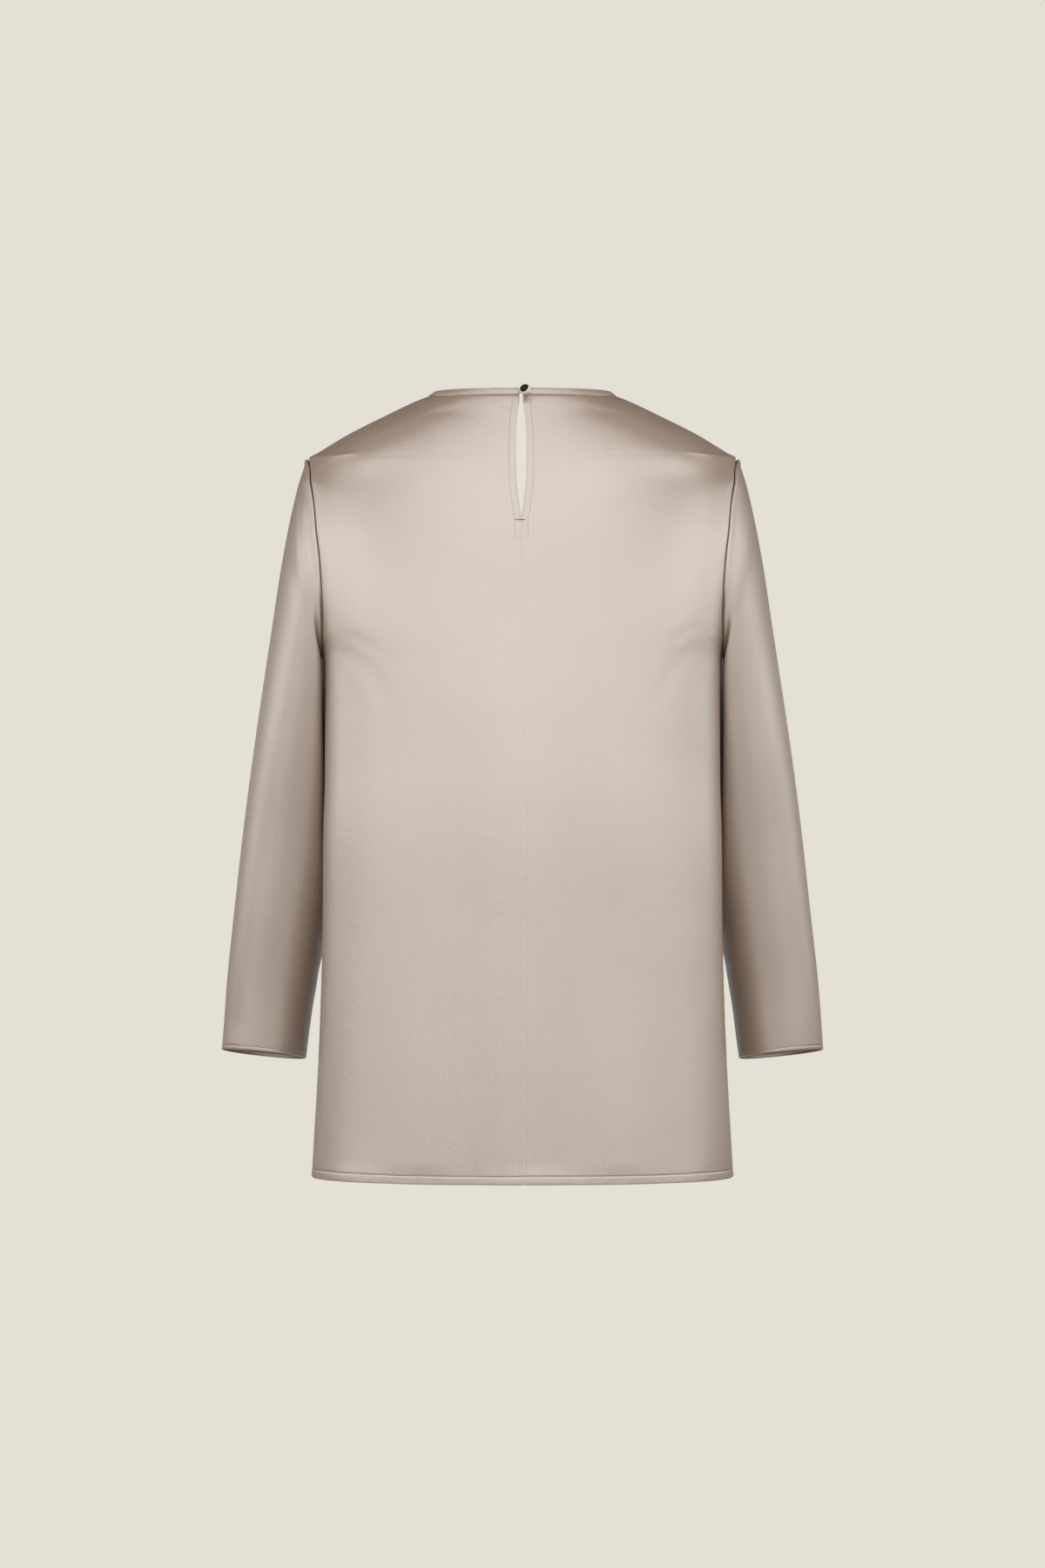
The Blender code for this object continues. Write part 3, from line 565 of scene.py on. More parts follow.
def bodyRelief(grid, face, u, v, creases, look, seed):
    toSide, edgePlace, edgeZ = fromEdges(grid, (-1,) if face > 0 else (0, -1))
    toHem = v[-1:] - v
    z = grid[..., 2]
    share = np.clip((-cut["shoulderDrop"] - edgeZ) / (cut["underarmDrop"] - cut["shoulderDrop"]), 0.0, 1.0)
    onArmhole = ease(share / 0.02) * ease((1.0 - share) / 0.02)
    relief = creaseRelief(grid[..., 0], z, creases)
    fade = ease(toSide / 0.03) * ease(toHem / 0.02) * ease(v / 0.03)
    relief += look["swell"] * cloud(seed, *look["swellSize"])(grid[..., 0], z) * fade
    relief += look["ripple"] * cloud(seed + 1, *look["rippleSize"])(grid[..., 0], z) * fade
    relief += onArmhole * seamRelief(toSide, edgePlace, armholeLook, 31 + face)
    wedge = np.exp(-((edgeZ + cut["shoulderDrop"]) / armholeLook["wedgeLength"]) ** 2)
    relief -= armholeLook["wedge"] * wedge * np.exp(-toSide / armholeLook["wedgeWidth"])
    tipX, tipRise = armholeLook["tipPlace"]
    fromTip = z + cut["shoulderDrop"] - tipRise
    fromTip = fromTip / np.where(fromTip < 0.0, armholeLook["tipBelow"], armholeLook["tipAbove"])
    inward = (tipX - np.abs(grid[..., 0])) / armholeLook["tipWidth"]
    relief -= armholeLook["tipFall"] * np.exp(-fromTip ** 2 - inward ** 2) * ease(toSide / armholeLook["tipEdge"])
    relief += (1.0 - onArmhole) * seamRelief(toSide, edgePlace, seamLook, 41)
    relief += seamRelief(v, np.abs(u), neckLook, 51 + face)
    return relief + hemRelief(toHem, grid[..., 0], cut["hemDepth"], hemLook, 61 + face)


def bodyThickness(v):
    toHem = v[-1:] - v
    return cut["cloth"] + (cut["hemCloth"] - cut["cloth"]) * ease((cut["hemDepth"] - toHem) / 0.0010 + 0.5)


# x, z of both ends, bow, width, depth of each soft crease on the back
backPanel = {
    "columns": 96,
    "crowding": 0.72,
    "swell": 0.00088,
    "swellSize": (0.060, 0.150),
    "ripple": 0.00008,
    "rippleSize": (0.028, 0.055),
    "facingWidth": 0.0062,
    "facingRise": 0.00022,
    "facingBite": 0.00020,
    "facingEnd": -0.141,
    "facingFold": 0.0010,  # how wide the facing's step is
    "facingFade": 0.008,
    "biteWidth": 0.0006,
    "edgeWaver": 0.00012,
    "edgeWaverLength": 0.011,
    "edgeWaverReach": 0.006,
    "sewnFrom": 0.0008,  # a keyhole narrower than this is sewn up
    "thinReach": 0.002,
    "creases": {
        1: (
            (0.165, -0.240, 0.118, -0.310, 0.006, 0.0085, -0.00045),
            (0.168, -0.228, 0.130, -0.250, 0.003, 0.0060, -0.00030),
            (0.150, -0.330, 0.158, -0.600, -0.006, 0.0170, -0.00060),
            (0.102, -0.420, 0.118, -0.720, 0.008, 0.0240, -0.00040),
            (0.058, -0.300, 0.074, -0.560, 0.006, 0.0220, -0.00035),
            (0.030, -0.520, 0.036, -0.700, 0.003, 0.0150, 0.00035),
            (0.009, -0.0150, 0.023, -0.0172, 0.0004, 0.0013, -0.00016),
            (0.008, -0.0190, 0.018, -0.0225, 0.0004, 0.0016, 0.00010),
        ),
        -1: (
            (-0.164, -0.236, -0.122, -0.300, -0.006, 0.0080, -0.00042),
            (-0.167, -0.222, -0.136, -0.240, -0.003, 0.0055, -0.00028),
            (-0.148, -0.350, -0.160, -0.620, 0.007, 0.0180, -0.00055),
            (-0.096, -0.400, -0.112, -0.690, -0.008, 0.0210, -0.00050),
            (-0.052, -0.330, -0.064, -0.600, -0.005, 0.0200, -0.00035),
            (-0.028, -0.540, -0.030, -0.710, -0.002, 0.0140, 0.00030),
            (-0.010, -0.0160, -0.019, -0.0175, 0.0003, 0.0014, -0.00010),
        ),
    },
}


def makeBack(side, name, node):
    look = backPanel
    heights, drops = panelHeights(1)
    half = panelGrid(1, heights, drops, centreStart(side, heights - drops), crowded(look["columns"], look["crowding"]))
    grid = half * (side, 1.0, 1.0)
    u, v = arcs(grid, 1), arcs(grid, 0)
    relief = bodyRelief(grid, 1, u, v, look["creases"][side], look, 4)
    z = grid[..., 2]
    opening = keyholeAt(-z[:, :1])
    sewn = 1.0 - ease(opening / look["sewnFrom"])
    aboveEnd = (z - look["facingEnd"]) / look["facingFade"]
    facing = ease((look["facingWidth"] - u) / look["facingFold"] + 0.5) * ease(aboveEnd + 0.5)
    bite = np.exp(-((u - look["facingWidth"]) / look["biteWidth"]) ** 2) * ease(aboveEnd)
    relief += sewn * seamRelief(u, z, centreSeamLook, 71) + look["facingRise"] * facing - look["facingBite"] * bite
    waver = look["edgeWaver"] * wander(81, look["edgeWaverLength"])(z)
    relief += waver * np.exp(-u / look["edgeWaverReach"]) * (1.0 - sewn)
    normals = bodyNormals(grid)
    surface = grid + normals * relief[..., None]
    thickness = bodyThickness(v)
    thin = (opening < cut["centreHalf"]) * (1.0 - ease(u / look["thinReach"]))
    thickness = thickness + (cut["centreCloth"] - thickness) * thin
    mesh = shellMesh(name, surface, normals, thickness, u * side, v, False)
    return addPiece(name, mesh, satin, (node,)), surface, u, v


# x, z of both ends, bow, width, depth of each soft crease on the front
frontPanel = {
    "columns": 74,
    "crowding": 0.65,
    "swell": 0.00150,
    "swellSize": (0.065, 0.150),
    "ripple": 0.00010,
    "rippleSize": (0.030, 0.060),
    "creases": (
        (0.160, -0.245, 0.105, -0.330, 0.008, 0.0100, -0.0007),
        (-0.158, -0.240, -0.110, -0.318, -0.008, 0.0095, -0.0006),
        (0.085, -0.260, 0.098, -0.640, 0.012, 0.0240, -0.0011),
        (-0.078, -0.280, -0.092, -0.660, -0.012, 0.0250, -0.0010),
        (0.030, -0.330, 0.022, -0.700, 0.006, 0.0200, 0.0008),
        (-0.018, -0.380, -0.026, -0.710, -0.005, 0.0190, 0.0007),
        (0.138, -0.400, 0.150, -0.710, -0.006, 0.0180, -0.0008),
        (-0.136, -0.380, -0.146, -0.700, 0.007, 0.0190, -0.0008),
        (0.075, -0.080, 0.040, -0.135, 0.006, 0.0090, -0.0004),
        (-0.072, -0.085, -0.044, -0.140, -0.005, 0.0085, -0.0004),
    ),
}


def makeFront():
    heights, drops = panelHeights(-1)
    half = panelGrid(-1, heights, drops, np.zeros(len(heights)), crowded(frontPanel["columns"], 0.0) ** 0.92)
    grid = np.concatenate((half[:, :0:-1] * (-1.0, 1.0, 1.0), half), axis=1)
    middle = frontPanel["columns"]
    across = arcs(grid, 1)
    u, v = across - across[:, middle:middle + 1], arcs(grid, 0)
    relief = bodyRelief(grid, -1, u, v, frontPanel["creases"], frontPanel, 11)
    normals = bodyNormals(grid)
    surface = grid + normals * relief[..., None]
    mesh = shellMesh("front_cloth", surface, normals, bodyThickness(v), -u, v, False)
    return addPiece("front_cloth", mesh, satin, ("front",)), surface, u, v


backLeft = makeBack(1, "back_left_cloth", "back_left")
backRight = makeBack(-1, "back_right_cloth", "back_right")
front = makeFront()
print("body panels made")

# Sleeves: around, down of both ends, bow, width, depth of each soft crease, in metres from the armhole's top
sleevePanel = {
    "columns": 144,
    "rows": 170,
    "swell": 0.00080,
    "swellSize": (0.050, 0.130),
    "ripple": 0.00010,
    "rippleSize": (0.026, 0.050),
    "seamTurn": 180.0,
    "headRadius": 0.11,
    "gather": 0.00022,
    "gatherLength": 0.0062,
    "gatherReach": 0.006,
    "creases": (
        (0.150, 0.060, 0.105, 0.150, 0.006, 0.0090, -0.0006),
        (0.175, 0.050, 0.215, 0.140, -0.006, 0.0090, -0.0006),
        (0.120, 0.290, 0.165, 0.330, 0.004, 0.0090, -0.0007),
        (0.125, 0.330, 0.175, 0.352, 0.003, 0.0080, -0.0005),
        (0.205, 0.300, 0.165, 0.345, -0.004, 0.0090, -0.0007),
        (0.052, 0.230, 0.058, 0.480, 0.004, 0.0150, -0.0004),
        (0.095, 0.380, 0.086, 0.540, 0.003, 0.0130, 0.0004),
        (0.235, 0.240, 0.225, 0.470, 0.004, 0.0150, -0.0005),
    ),
}


def armholePoints(turns):
    z = -cut["shoulderDrop"] - (1.0 - np.cos(turns)) / 2.0 * (cut["underarmDrop"] - cut["shoulderDrop"])
    face = np.where(np.sin(turns) >= 0, 1, -1)
    bite = np.where(face > 0, cut["armholeBackBite"], cut["armholeFrontBite"])
    y = sideAt(-z) + bite * np.sin(turns)
    return np.stack((bodySide(face, y, z), y, z), axis=-1)


def sleeveGrid(turns, places):
    base = armholePoints(turns)
    along = unit(armholePoints(turns + 0.01) - armholePoints(turns - 0.01))
    facing = bodyNormals(base)
    outward = unit(np.cross(along, facing))
    span = cut["sleeveTurnTo"] - cut["sleeveTurnFrom"]
    bend = math.radians(cut["sleeveTurn"]) * ease(((1.0 - np.cos(turns)) / 2.0 - cut["sleeveTurnFrom"]) / span)
    direction = outward * np.cos(bend)[:, None] + facing * np.sin(bend)[:, None]
    knots = [base + outward * cut["seamHalf"] * 2.0]
    forward = ((1.0 - np.cos(turns)) / 2.0) ** 6
    for outerX, outerZ, innerX, innerZ, middleY, halfDepth, backLift, innerForward in sleeveRings:
        outer, inner = np.array((outerX, 0.0, outerZ)), np.array((innerX, 0.0, innerZ))
        middle = (outer + inner) / 2.0 + (0.0, middleY, 0.0)
        back = np.array((0.0, halfDepth, backLift))
        flat = np.where(np.cos(turns) < 0.0, cut["sleeveInnerFlat"], 1.0)
        across, deep = (np.sign(wave) * np.abs(wave) ** flat for wave in (np.cos(turns), np.sin(turns)))
        ring = middle + (outer - inner) / 2.0 * across[:, None] + back * deep[:, None]
        ring[:, 1] += innerForward * forward
        knots.append(ring)
    knots = np.array(knots)
    spans = np.linalg.norm(np.diff(knots, axis=0), axis=2, keepdims=True)
    slopes = np.zeros_like(knots)
    under = ease(((1.0 - np.cos(turns)) / 2.0 - 0.45) / 0.45)[:, None]
    slopes[0] = direction * spans[0] * (cut["sleeveStartPull"] + (cut["sleeveUnderPull"] - cut["sleeveStartPull"]) * under)
    first, second = spans[:-1], spans[1:]
    steps = np.diff(knots, axis=0)
    slopes[1:-1] = (steps[:-1] * (second / first) + steps[1:] * (first / second)) / (first + second)
    slopes[-1] = unit(steps[-1])
    rows = []
    for place in places:
        i = min(int(place), len(sleeveRings) - 1)
        t = place - i
        leave = slopes[0] if i == 0 else slopes[i] * spans[i]
        arrive = slopes[i + 1] * spans[i]
        row = (knots[i] * ((1 + 2 * t) * (1 - t) ** 2) + leave * (t * (1 - t) ** 2)
               + knots[i + 1] * (t * t * (3 - 2 * t)) - arrive * (t * t * (1 - t)))
        if place > 0:
            face = np.where(row[:, 1] > sideAt(-row[:, 2]), 1, -1)
            nearest = bodySide(face, row[:, 1], row[:, 2]) + cut["sleeveClearance"] * ease(place)
            room = (row[:, 0] - nearest) / cut["sleeveClearance"]
            row[:, 0] = nearest + cut["sleeveClearance"] * np.logaddexp(0.0, room)
        rows.append(row)
    return np.array(rows)


def sleevePlaces():
    cuff = len(sleeveRings)
    last = math.hypot(*(sleeveRings[-1, :2] - sleeveRings[-2, :2]))
    hem = cuff - cut["cuffHemDepth"] / last
    top = np.linspace(0.0, 0.5, 28)[:-1] ** 1.3 * 0.5 ** -0.3
    body = np.linspace(0.5, hem - 0.10, sleevePanel["rows"] - 55)[:-1]
    above = np.linspace(hem - 0.10, hem, 14)[:-1]
    places = np.concatenate((top, body, above, np.linspace(hem, cuff - 0.0006 / last, 14)))
    return places, len(top) + len(body) + len(above)


def makeSleeve(side, name, node):
    turns = np.linspace(0.0, 2.0 * math.pi, sleevePanel["columns"], endpoint=False)
    places, hemRow = sleevePlaces()
    grid = sleeveGrid(turns, places)
    normals = gridNormals(grid, True)
    if np.sum(normals[-1] * (grid[-1] - grid[-1].mean(axis=0))) < 0:
        normals = -normals
    ring = np.concatenate((grid, grid[:, :1]), axis=1)
    u, v = arcs(ring, 1)[:, :-1], arcs(grid, 0)
    toHem = v[-1:] - v
    turn = turns[None, :]
    relief = creaseRelief(u + 0.004 * (side < 0), v + 0.008 * (side < 0), sleevePanel["creases"])
    fade = ease(v / 0.04) * ease(toHem / 0.03)
    loop = 0.05 * np.cos(turn), v + 0.05 * np.sin(turn)
    relief += fade * sleevePanel["swell"] * cloud(21 + side, *sleevePanel["swellSize"])(*loop)
    relief += fade * sleevePanel["ripple"] * cloud(23 + side, *sleevePanel["rippleSize"])(*loop)
    headEase = 0.35 + 0.65 * np.cos(turn / 2.0) ** 2
    folded = np.where(turn <= math.pi, turn, 2.0 * math.pi - turn)
    onBack = ease(np.sin(turn) * 4.0 + 0.5)
    backHead, frontHead = (seamRelief(v, folded * sleevePanel["headRadius"], sleeveHeadLook, seed) for seed in (32, 30))
    relief += (onBack * backHead + (1.0 - onBack) * frontHead) * headEase
    gathers = sleevePanel["gather"] * wander(91 + side, sleevePanel["gatherLength"])(u)
    relief += gathers * np.exp(-(v / sleevePanel["gatherReach"] - 1.0) ** 2) * np.cos(turn / 2.0) ** 4
    radius = np.maximum(u.max(axis=1, keepdims=True), 0.2) / (2.0 * math.pi)
    relief += seamRelief(np.abs(turn - math.radians(sleevePanel["seamTurn"])) * radius, v, seamLook, 95)
    relief += hemRelief(toHem, u, cut["cuffHemDepth"], cuffLook, 97)
    surface = (grid + normals * relief[..., None]) * (side, 1.0, 1.0)
    inHem = ease((cut["cuffHemDepth"] - toHem) / 0.0008 + 0.5)
    thickness = cut["cloth"] + (cut["hemCloth"] - cut["cloth"]) * inHem
    mesh = shellMesh(name, surface, normals * (side, 1.0, 1.0), thickness, u * side, v, True)
    return addPiece(name, mesh, satin, (node,)), surface, u, v, hemRow


sleeveLeft = makeSleeve(1, "sleeve_left_cloth", "sleeve_left")
sleeveRight = makeSleeve(-1, "sleeve_right_cloth", "sleeve_right")
print("sleeves made")

# Neck binding
binding = {
    "thickness": 0.0016,
    "proud": 0.0013,
    "crown": 0.00010,
    "lean": -0.00095,
    "backColumns": 90,
    "frontColumns": 90,
    "twist": 0.00011,
    "twistLength": 0.0065,
    "endPull": 0.0012,
}


def neckLine(width):
    backSide, backDrop = neckRow(1, width)
    frontSide, frontDrop = neckRow(-1, width)
    backShares, frontShares = crowded(binding["backColumns"], 0.3), np.linspace(0.0, 1.0, binding["frontColumns"] + 1)
    middle = backSide - backDrop
    left = panelGrid(1, [backSide], [backDrop], [centreStart(1, middle)], backShares)[0]
    right = panelGrid(1, [backSide], [backDrop], [centreStart(-1, middle)], backShares)[0]
    half = panelGrid(-1, [frontSide], [frontDrop], [0.0], frontShares)[0]
    left[-1, 1] = 0.0
    mirror = (-1.0, 1.0, 1.0)
    return np.vstack((left, half[-2::-1], half[1:-1] * mirror, right[::-1] * mirror))


def makeBinding():
    edge, foot = neckLine(0.0), neckLine(cut["bindingWidth"])
    down = (foot - edge) / cut["bindingWidth"]
    out = bodyNormals(foot)
    half = binding["thickness"] / 2.0
    middle = binding["proud"] - half
    low, high = [], []
    for turn in np.linspace(math.pi, 0.0, 9):  # over the fold, from inside to outside
        low.append(half * (1.0 - math.sin(turn)))
        high.append(middle + half * math.cos(turn))
    faceShares = np.linspace(0.12, 0.94, 9)
    for share in faceShares:
        low.append(half + (cut["bindingWidth"] - half) * share)
        high.append(binding["proud"] + binding["crown"] * math.sin(math.pi * share) + binding["lean"] * share)
    low += [cut["bindingWidth"] + 0.00005, cut["bindingWidth"] + 0.00015]
    high += [binding["proud"] + binding["lean"] - 0.0003, binding["proud"] - 0.0006]
    low += [cut["bindingWidth"] + 0.00005]
    high += [binding["proud"] - binding["thickness"] + 0.0003]
    for share in faceShares[::-1]:
        low.append(half + (cut["bindingWidth"] - half) * share)
        high.append(binding["proud"] - binding["thickness"])
    low, high = np.array(low)[:, None, None], np.array(high)[:, None, None]
    along = arcs(edge[None], 1)[0]
    fromEnd = np.minimum(along, along[-1] - along)
    twist = binding["twist"] * (0.5 + 1.6 * np.exp(-fromEnd / 0.018))
    ripple = twist * wander(103, binding["twistLength"])(along + 0.9 * low[..., 0])
    ripple *= np.sin(math.pi * np.clip(low[..., 0] / cut["bindingWidth"], 0.02, 0.98)) ** 0.5
    rings = edge + down * low + out * (high + ripple[..., None])
    ring = rings.transpose(1, 0, 2)
    heart = ring.mean(axis=1)
    direction = unit(np.gradient(heart, axis=0))
    caps = []
    for which, sign in ((0, -1.0), (-1, 1.0)):
        turns = np.radians((30.0, 60.0, 82.0))
        grown = [heart[which] + (ring[which] - heart[which]) * math.cos(turn)
                 + direction[which] * sign * math.sin(turn) * half * 0.6 for turn in turns]
        caps.append(np.array(grown[::-1] if which == 0 else grown))
    ring = np.concatenate((caps[0], ring, caps[1]))
    count, sides = ring.shape[:2]
    index = np.arange(count * sides).reshape(count, sides)
    after = np.roll(index, -1, axis=1)
    faces = np.stack((index[:-1], index[1:], after[1:], after[:-1]), axis=-1).reshape(-1, 4).tolist()
    faces += [index[0].tolist(), index[-1][::-1].tolist()]
    mesh = bpy.data.meshes.new("neck_binding_cloth")
    mesh.from_pydata(ring.reshape(-1, 3).tolist(), [], faces)
    around = np.concatenate((np.zeros(1), np.cumsum(np.linalg.norm(np.diff(ring[count // 2], axis=0), axis=1))))
    length = arcs(ring[:, :1].transpose(1, 0, 2), 1)[0]
    uvs = np.stack(np.broadcast_arrays(length[:, None], around[None]), axis=-1).reshape(-1, 2)
    layer = mesh.uv_layers.new(name="cloth")
    corner = np.zeros(len(mesh.loops), int)
    mesh.loops.foreach_get("vertex_index", corner)
    layer.data.foreach_set("uv", uvs[corner].astype(np.float32).ravel())
    mesh.shade_smooth()
    return addPiece("neck_binding_cloth", mesh, satinTrim, ("neck_binding",)), foot, out


neckBinding, bindingFoot, bindingOut = makeBinding()
print("neck binding made")

# Button and loop
button = {
    "diameter": 0.0105,
    "thickness": 0.0052,
    "place": (-0.0022, 0.0668, -0.0016),
    "facing": (0.40, 0.78, 0.48),
    "well": 0.80,
    "shank": 0.0026,
    "shankLength": 0.0022,
    "steps": 56,
    "loopDiameter": 0.0012,
    "loopDepth": 0.0013,
    "loopRoom": 0.0001,
    "loopHeight": 0.55,  # share of the binding's width
    "loopEnd": 0.0022,
    "loopSides": 12,
    "loopPly": 0.08,
}


def turnedMesh(name, profile, steps, place):  # turned about the button's axis, closed at both ends
    points, faces = [], []
    turns = np.linspace(0.0, 2.0 * math.pi, steps, endpoint=False)
    for radius, height in profile:
        points += [(radius * math.cos(turn), radius * math.sin(turn), height) for turn in turns]
    for level in range(len(profile) - 1):
        for i in range(steps):
            j = (i + 1) % steps
            faces.append((level * steps + i, (level + 1) * steps + i, (level + 1) * steps + j, level * steps + j))
    top, bottom = len(points), len(points) + 1
    points += [(0.0, 0.0, profile[0][1]), (0.0, 0.0, profile[-1][1])]
    last = (len(profile) - 1) * steps
    for i in range(steps):
        j = (i + 1) % steps
        faces.append((top, i, j))
        faces.append((bottom, last + j, last + i))
    mesh = bpy.data.meshes.new(name)
    mesh.from_pydata([place @ Vector(point) for point in points], [], faces)
    mesh.shade_smooth()
    mesh.set_sharp_from_angle(angle=math.radians(60.0))
    return mesh


def throughPoints(points, steps):  # a smooth curve through all but the first and last of the points
    made = []
    for before, a, b, after in zip(points, points[1:], points[2:], points[3:]):
        for t in np.linspace(0.0, 1.0, steps, endpoint=False):
            made.append(0.5 * (2 * a + (b - before) * t + (2 * before - 5 * a + 4 * b - after) * t * t
                               + (3 * a - before - 3 * b + after) * t ** 3))
    return np.array(made + [points[-2]])


def smoothProfile(points, steps):  # a rounder profile through the given corners
    points = np.array(points)
    made = throughPoints(np.vstack((points[:1], points, points[-1:])), steps)
    return [(max(float(x), 0.00002), float(y)) for x, y in made]


def makeButton():
    radius, half = button["diameter"] / 2.0, button["thickness"] / 2.0
    axis = Vector(button["facing"]).to_track_quat("Z", "Y").to_matrix().to_4x4()
    place = Matrix.Translation(button["place"]) @ axis
    well = radius * button["well"]
    rim = [(0.0, half * 0.10), (well * 0.96, half * 0.10), (well, half * 0.16), (well, half * 0.58),
           (radius * 0.85, half * 0.74), (radius * 0.92, half * 0.72), (radius * 0.98, half * 0.50), (radius, half * 0.15),
           (radius * 0.99, -half * 0.30), (radius * 0.90, -half * 0.80), (radius * 0.70, -half * 0.98)]
    shank = button["shank"] / 2.0
    foot = -half - button["shankLength"]
    rim = smoothProfile(rim, 3) + [(shank * 1.6, -half), (shank * 1.15, -half - 0.0003), (shank, -half - 0.0007),
                                   (shank, foot + 0.0003), (shank * 0.8, foot), (0.00002, foot)]
    dome = [(0.0, half * 1.25), (well * 0.30, half * 1.22), (well * 0.60, half * 1.08), (well * 0.85, half * 0.86),
            (well * 0.97, half * 0.66), (well * 0.985, half * 0.40), (well * 0.985, half * 0.14), (0.0, half * 0.14)]
    for name, profile, material, slot in (("button_rim_turned", rim, buttonRim, "button_rim"),
                                          ("button_face_domed", smoothProfile(dome, 3), buttonFace, "button_face")):
        addPiece(name, turnedMesh(name, profile, button["steps"], place), material, (slot,))


# The rim's pale ivory colour is partly the rim's own light tone and partly painted highlight, standing in for the light
# that catches the rim.
buttonLook = {
    "rim": {"colour": (0.74, 0.68, 0.57), "cloud": (0.60, 0.53, 0.43), "roughness": 0.25,
            "Metallic": 0.25, "Coat Weight": 0.2, "Specular IOR Level": 0.5},
    "face": {"colour": (0.008, 0.007, 0.006), "cloud": (0.020, 0.016, 0.013), "roughness": 0.14,
             "Metallic": 0.0, "Coat Weight": 0.0, "Specular IOR Level": 0.08},
    "cloudSize": 420.0,
    "coatRoughness": 0.08,
    "bumpDepth": 0.00002,
}


def buttonMaterial(name, look):
    values = {socket: look[socket] for socket in ("Metallic", "Coat Weight", "Specular IOR Level")}
    return newMaterial(name, {**values, "Coat Roughness": buttonLook["coatRoughness"]}, {
        "place": ("ShaderNodeTexCoord", (-900, 0), {}, {}),
        "noise": ("ShaderNodeTexNoise", (-700, 0), {}, {"Scale": buttonLook["cloudSize"], "Detail": 5.0}),
        "mix": ("ShaderNodeMix", (-350, 150), {"data_type": "RGBA"},
                {"A": shaded(look["colour"]), "B": shaded(look["cloud"])}),
        "rough": ("ShaderNodeMapRange", (-350, -120), {},
                  {"To Min": look["roughness"] * 0.7, "To Max": look["roughness"] * 1.3}),
        "bump": ("ShaderNodeBump", (-350, -320), {}, {"Distance": buttonLook["bumpDepth"]}),
    }, (
        "place.Object > noise.Vector", "noise.Fac > mix.Factor", "mix.Result > shader.Base Color", "noise.Fac > rough.Value",
        "rough.Result > shader.Roughness", "noise.Fac > bump.Height", "bump.Normal > shader.Normal",
    ))


# Rim material: a pale colour that is partly the rim's own tone and partly painted highlight.
buttonRim = buttonMaterial("button_rim_tone_and_painted_highlight", buttonLook["rim"])
buttonFace = buttonMaterial("button_face_gloss", buttonLook["face"])
makeButton()


def tubeMesh(name, path, radius, sides, ply):  # a round cord along a path, its surface twisted in plies
    path = np.array(path)
    direction = unit(np.gradient(path, axis=0))
    up = unit(np.cross(direction[0], (0.3, 0.2, 0.9)))
    along = arcs(path[None], 1)[0]
    rings = []
    for i, point in enumerate(path):
        up = unit(up - direction[i] * np.dot(up, direction[i]))
        side = np.cross(direction[i], up)
        turns = np.linspace(0.0, 2.0 * math.pi, sides, endpoint=False)
        swell = radius * (1.0 + ply * np.cos(2.0 * (turns - along[i] * 2400.0)))
        end = min(i, len(path) - 1 - i)
        swell = swell * (0.35, 0.8, 1.0)[min(end, 2)]
        rings.append(point + up * (np.cos(turns) * swell)[:, None] + side * (np.sin(turns) * swell)[:, None])
    rings = np.array(rings)
    index = np.arange(rings.shape[0] * sides).reshape(-1, sides)
    after = np.roll(index, -1, axis=1)
    faces = np.stack((index[:-1], index[1:], after[1:], after[:-1]), axis=-1).reshape(-1, 4)[:, ::-1].tolist()
    faces += [index[0].tolist(), index[-1][::-1].tolist()]
    mesh = bpy.data.meshes.new(name)
    mesh.from_pydata(rings.reshape(-1, 3).tolist(), [], faces)
    mesh.shade_smooth()
    return mesh


def roundedPath(points, steps):
    points = np.array(points)
    return throughPoints(np.vstack((2 * points[0] - points[1], points, 2 * points[-1] - points[-2])), steps)


def makeLoop():
    axis = Vector(button["facing"]).normalized()
    centre = Vector(button["place"]) - axis * (button["thickness"] / 2.0 + button["loopDepth"])
    reach = button["shank"] / 2.0 + button["loopDiameter"] / 2.0 + button["loopRoom"]
    end = Vector(neckLine(cut["bindingWidth"] * button["loopHeight"])[0])
    end.x -= button["loopDiameter"] * 0.9
    across = (end - centre).normalized()
    across = (across - axis * across.dot(axis)).normalized()
    side = axis.cross(across)
    spread = side * button["loopDiameter"] * 0.9
    inward = Vector((button["loopEnd"], 0.0, 0.0))
    points = [end + spread + inward, end + spread]
    for turn in np.radians(np.linspace(60.0, 300.0, 9)):
        points.append(centre + (across * math.cos(turn) + side * math.sin(turn)) * reach)
    points += [end - spread, end - spread + inward]
    path = roundedPath([tuple(point) for point in points], 7)
    mesh = tubeMesh("button_loop_cord", path, button["loopDiameter"] / 2.0, button["loopSides"], button["loopPly"])
    addPiece("button_loop_cord", mesh, thread, ("button_loop",))


makeLoop()
print("button and loop made")


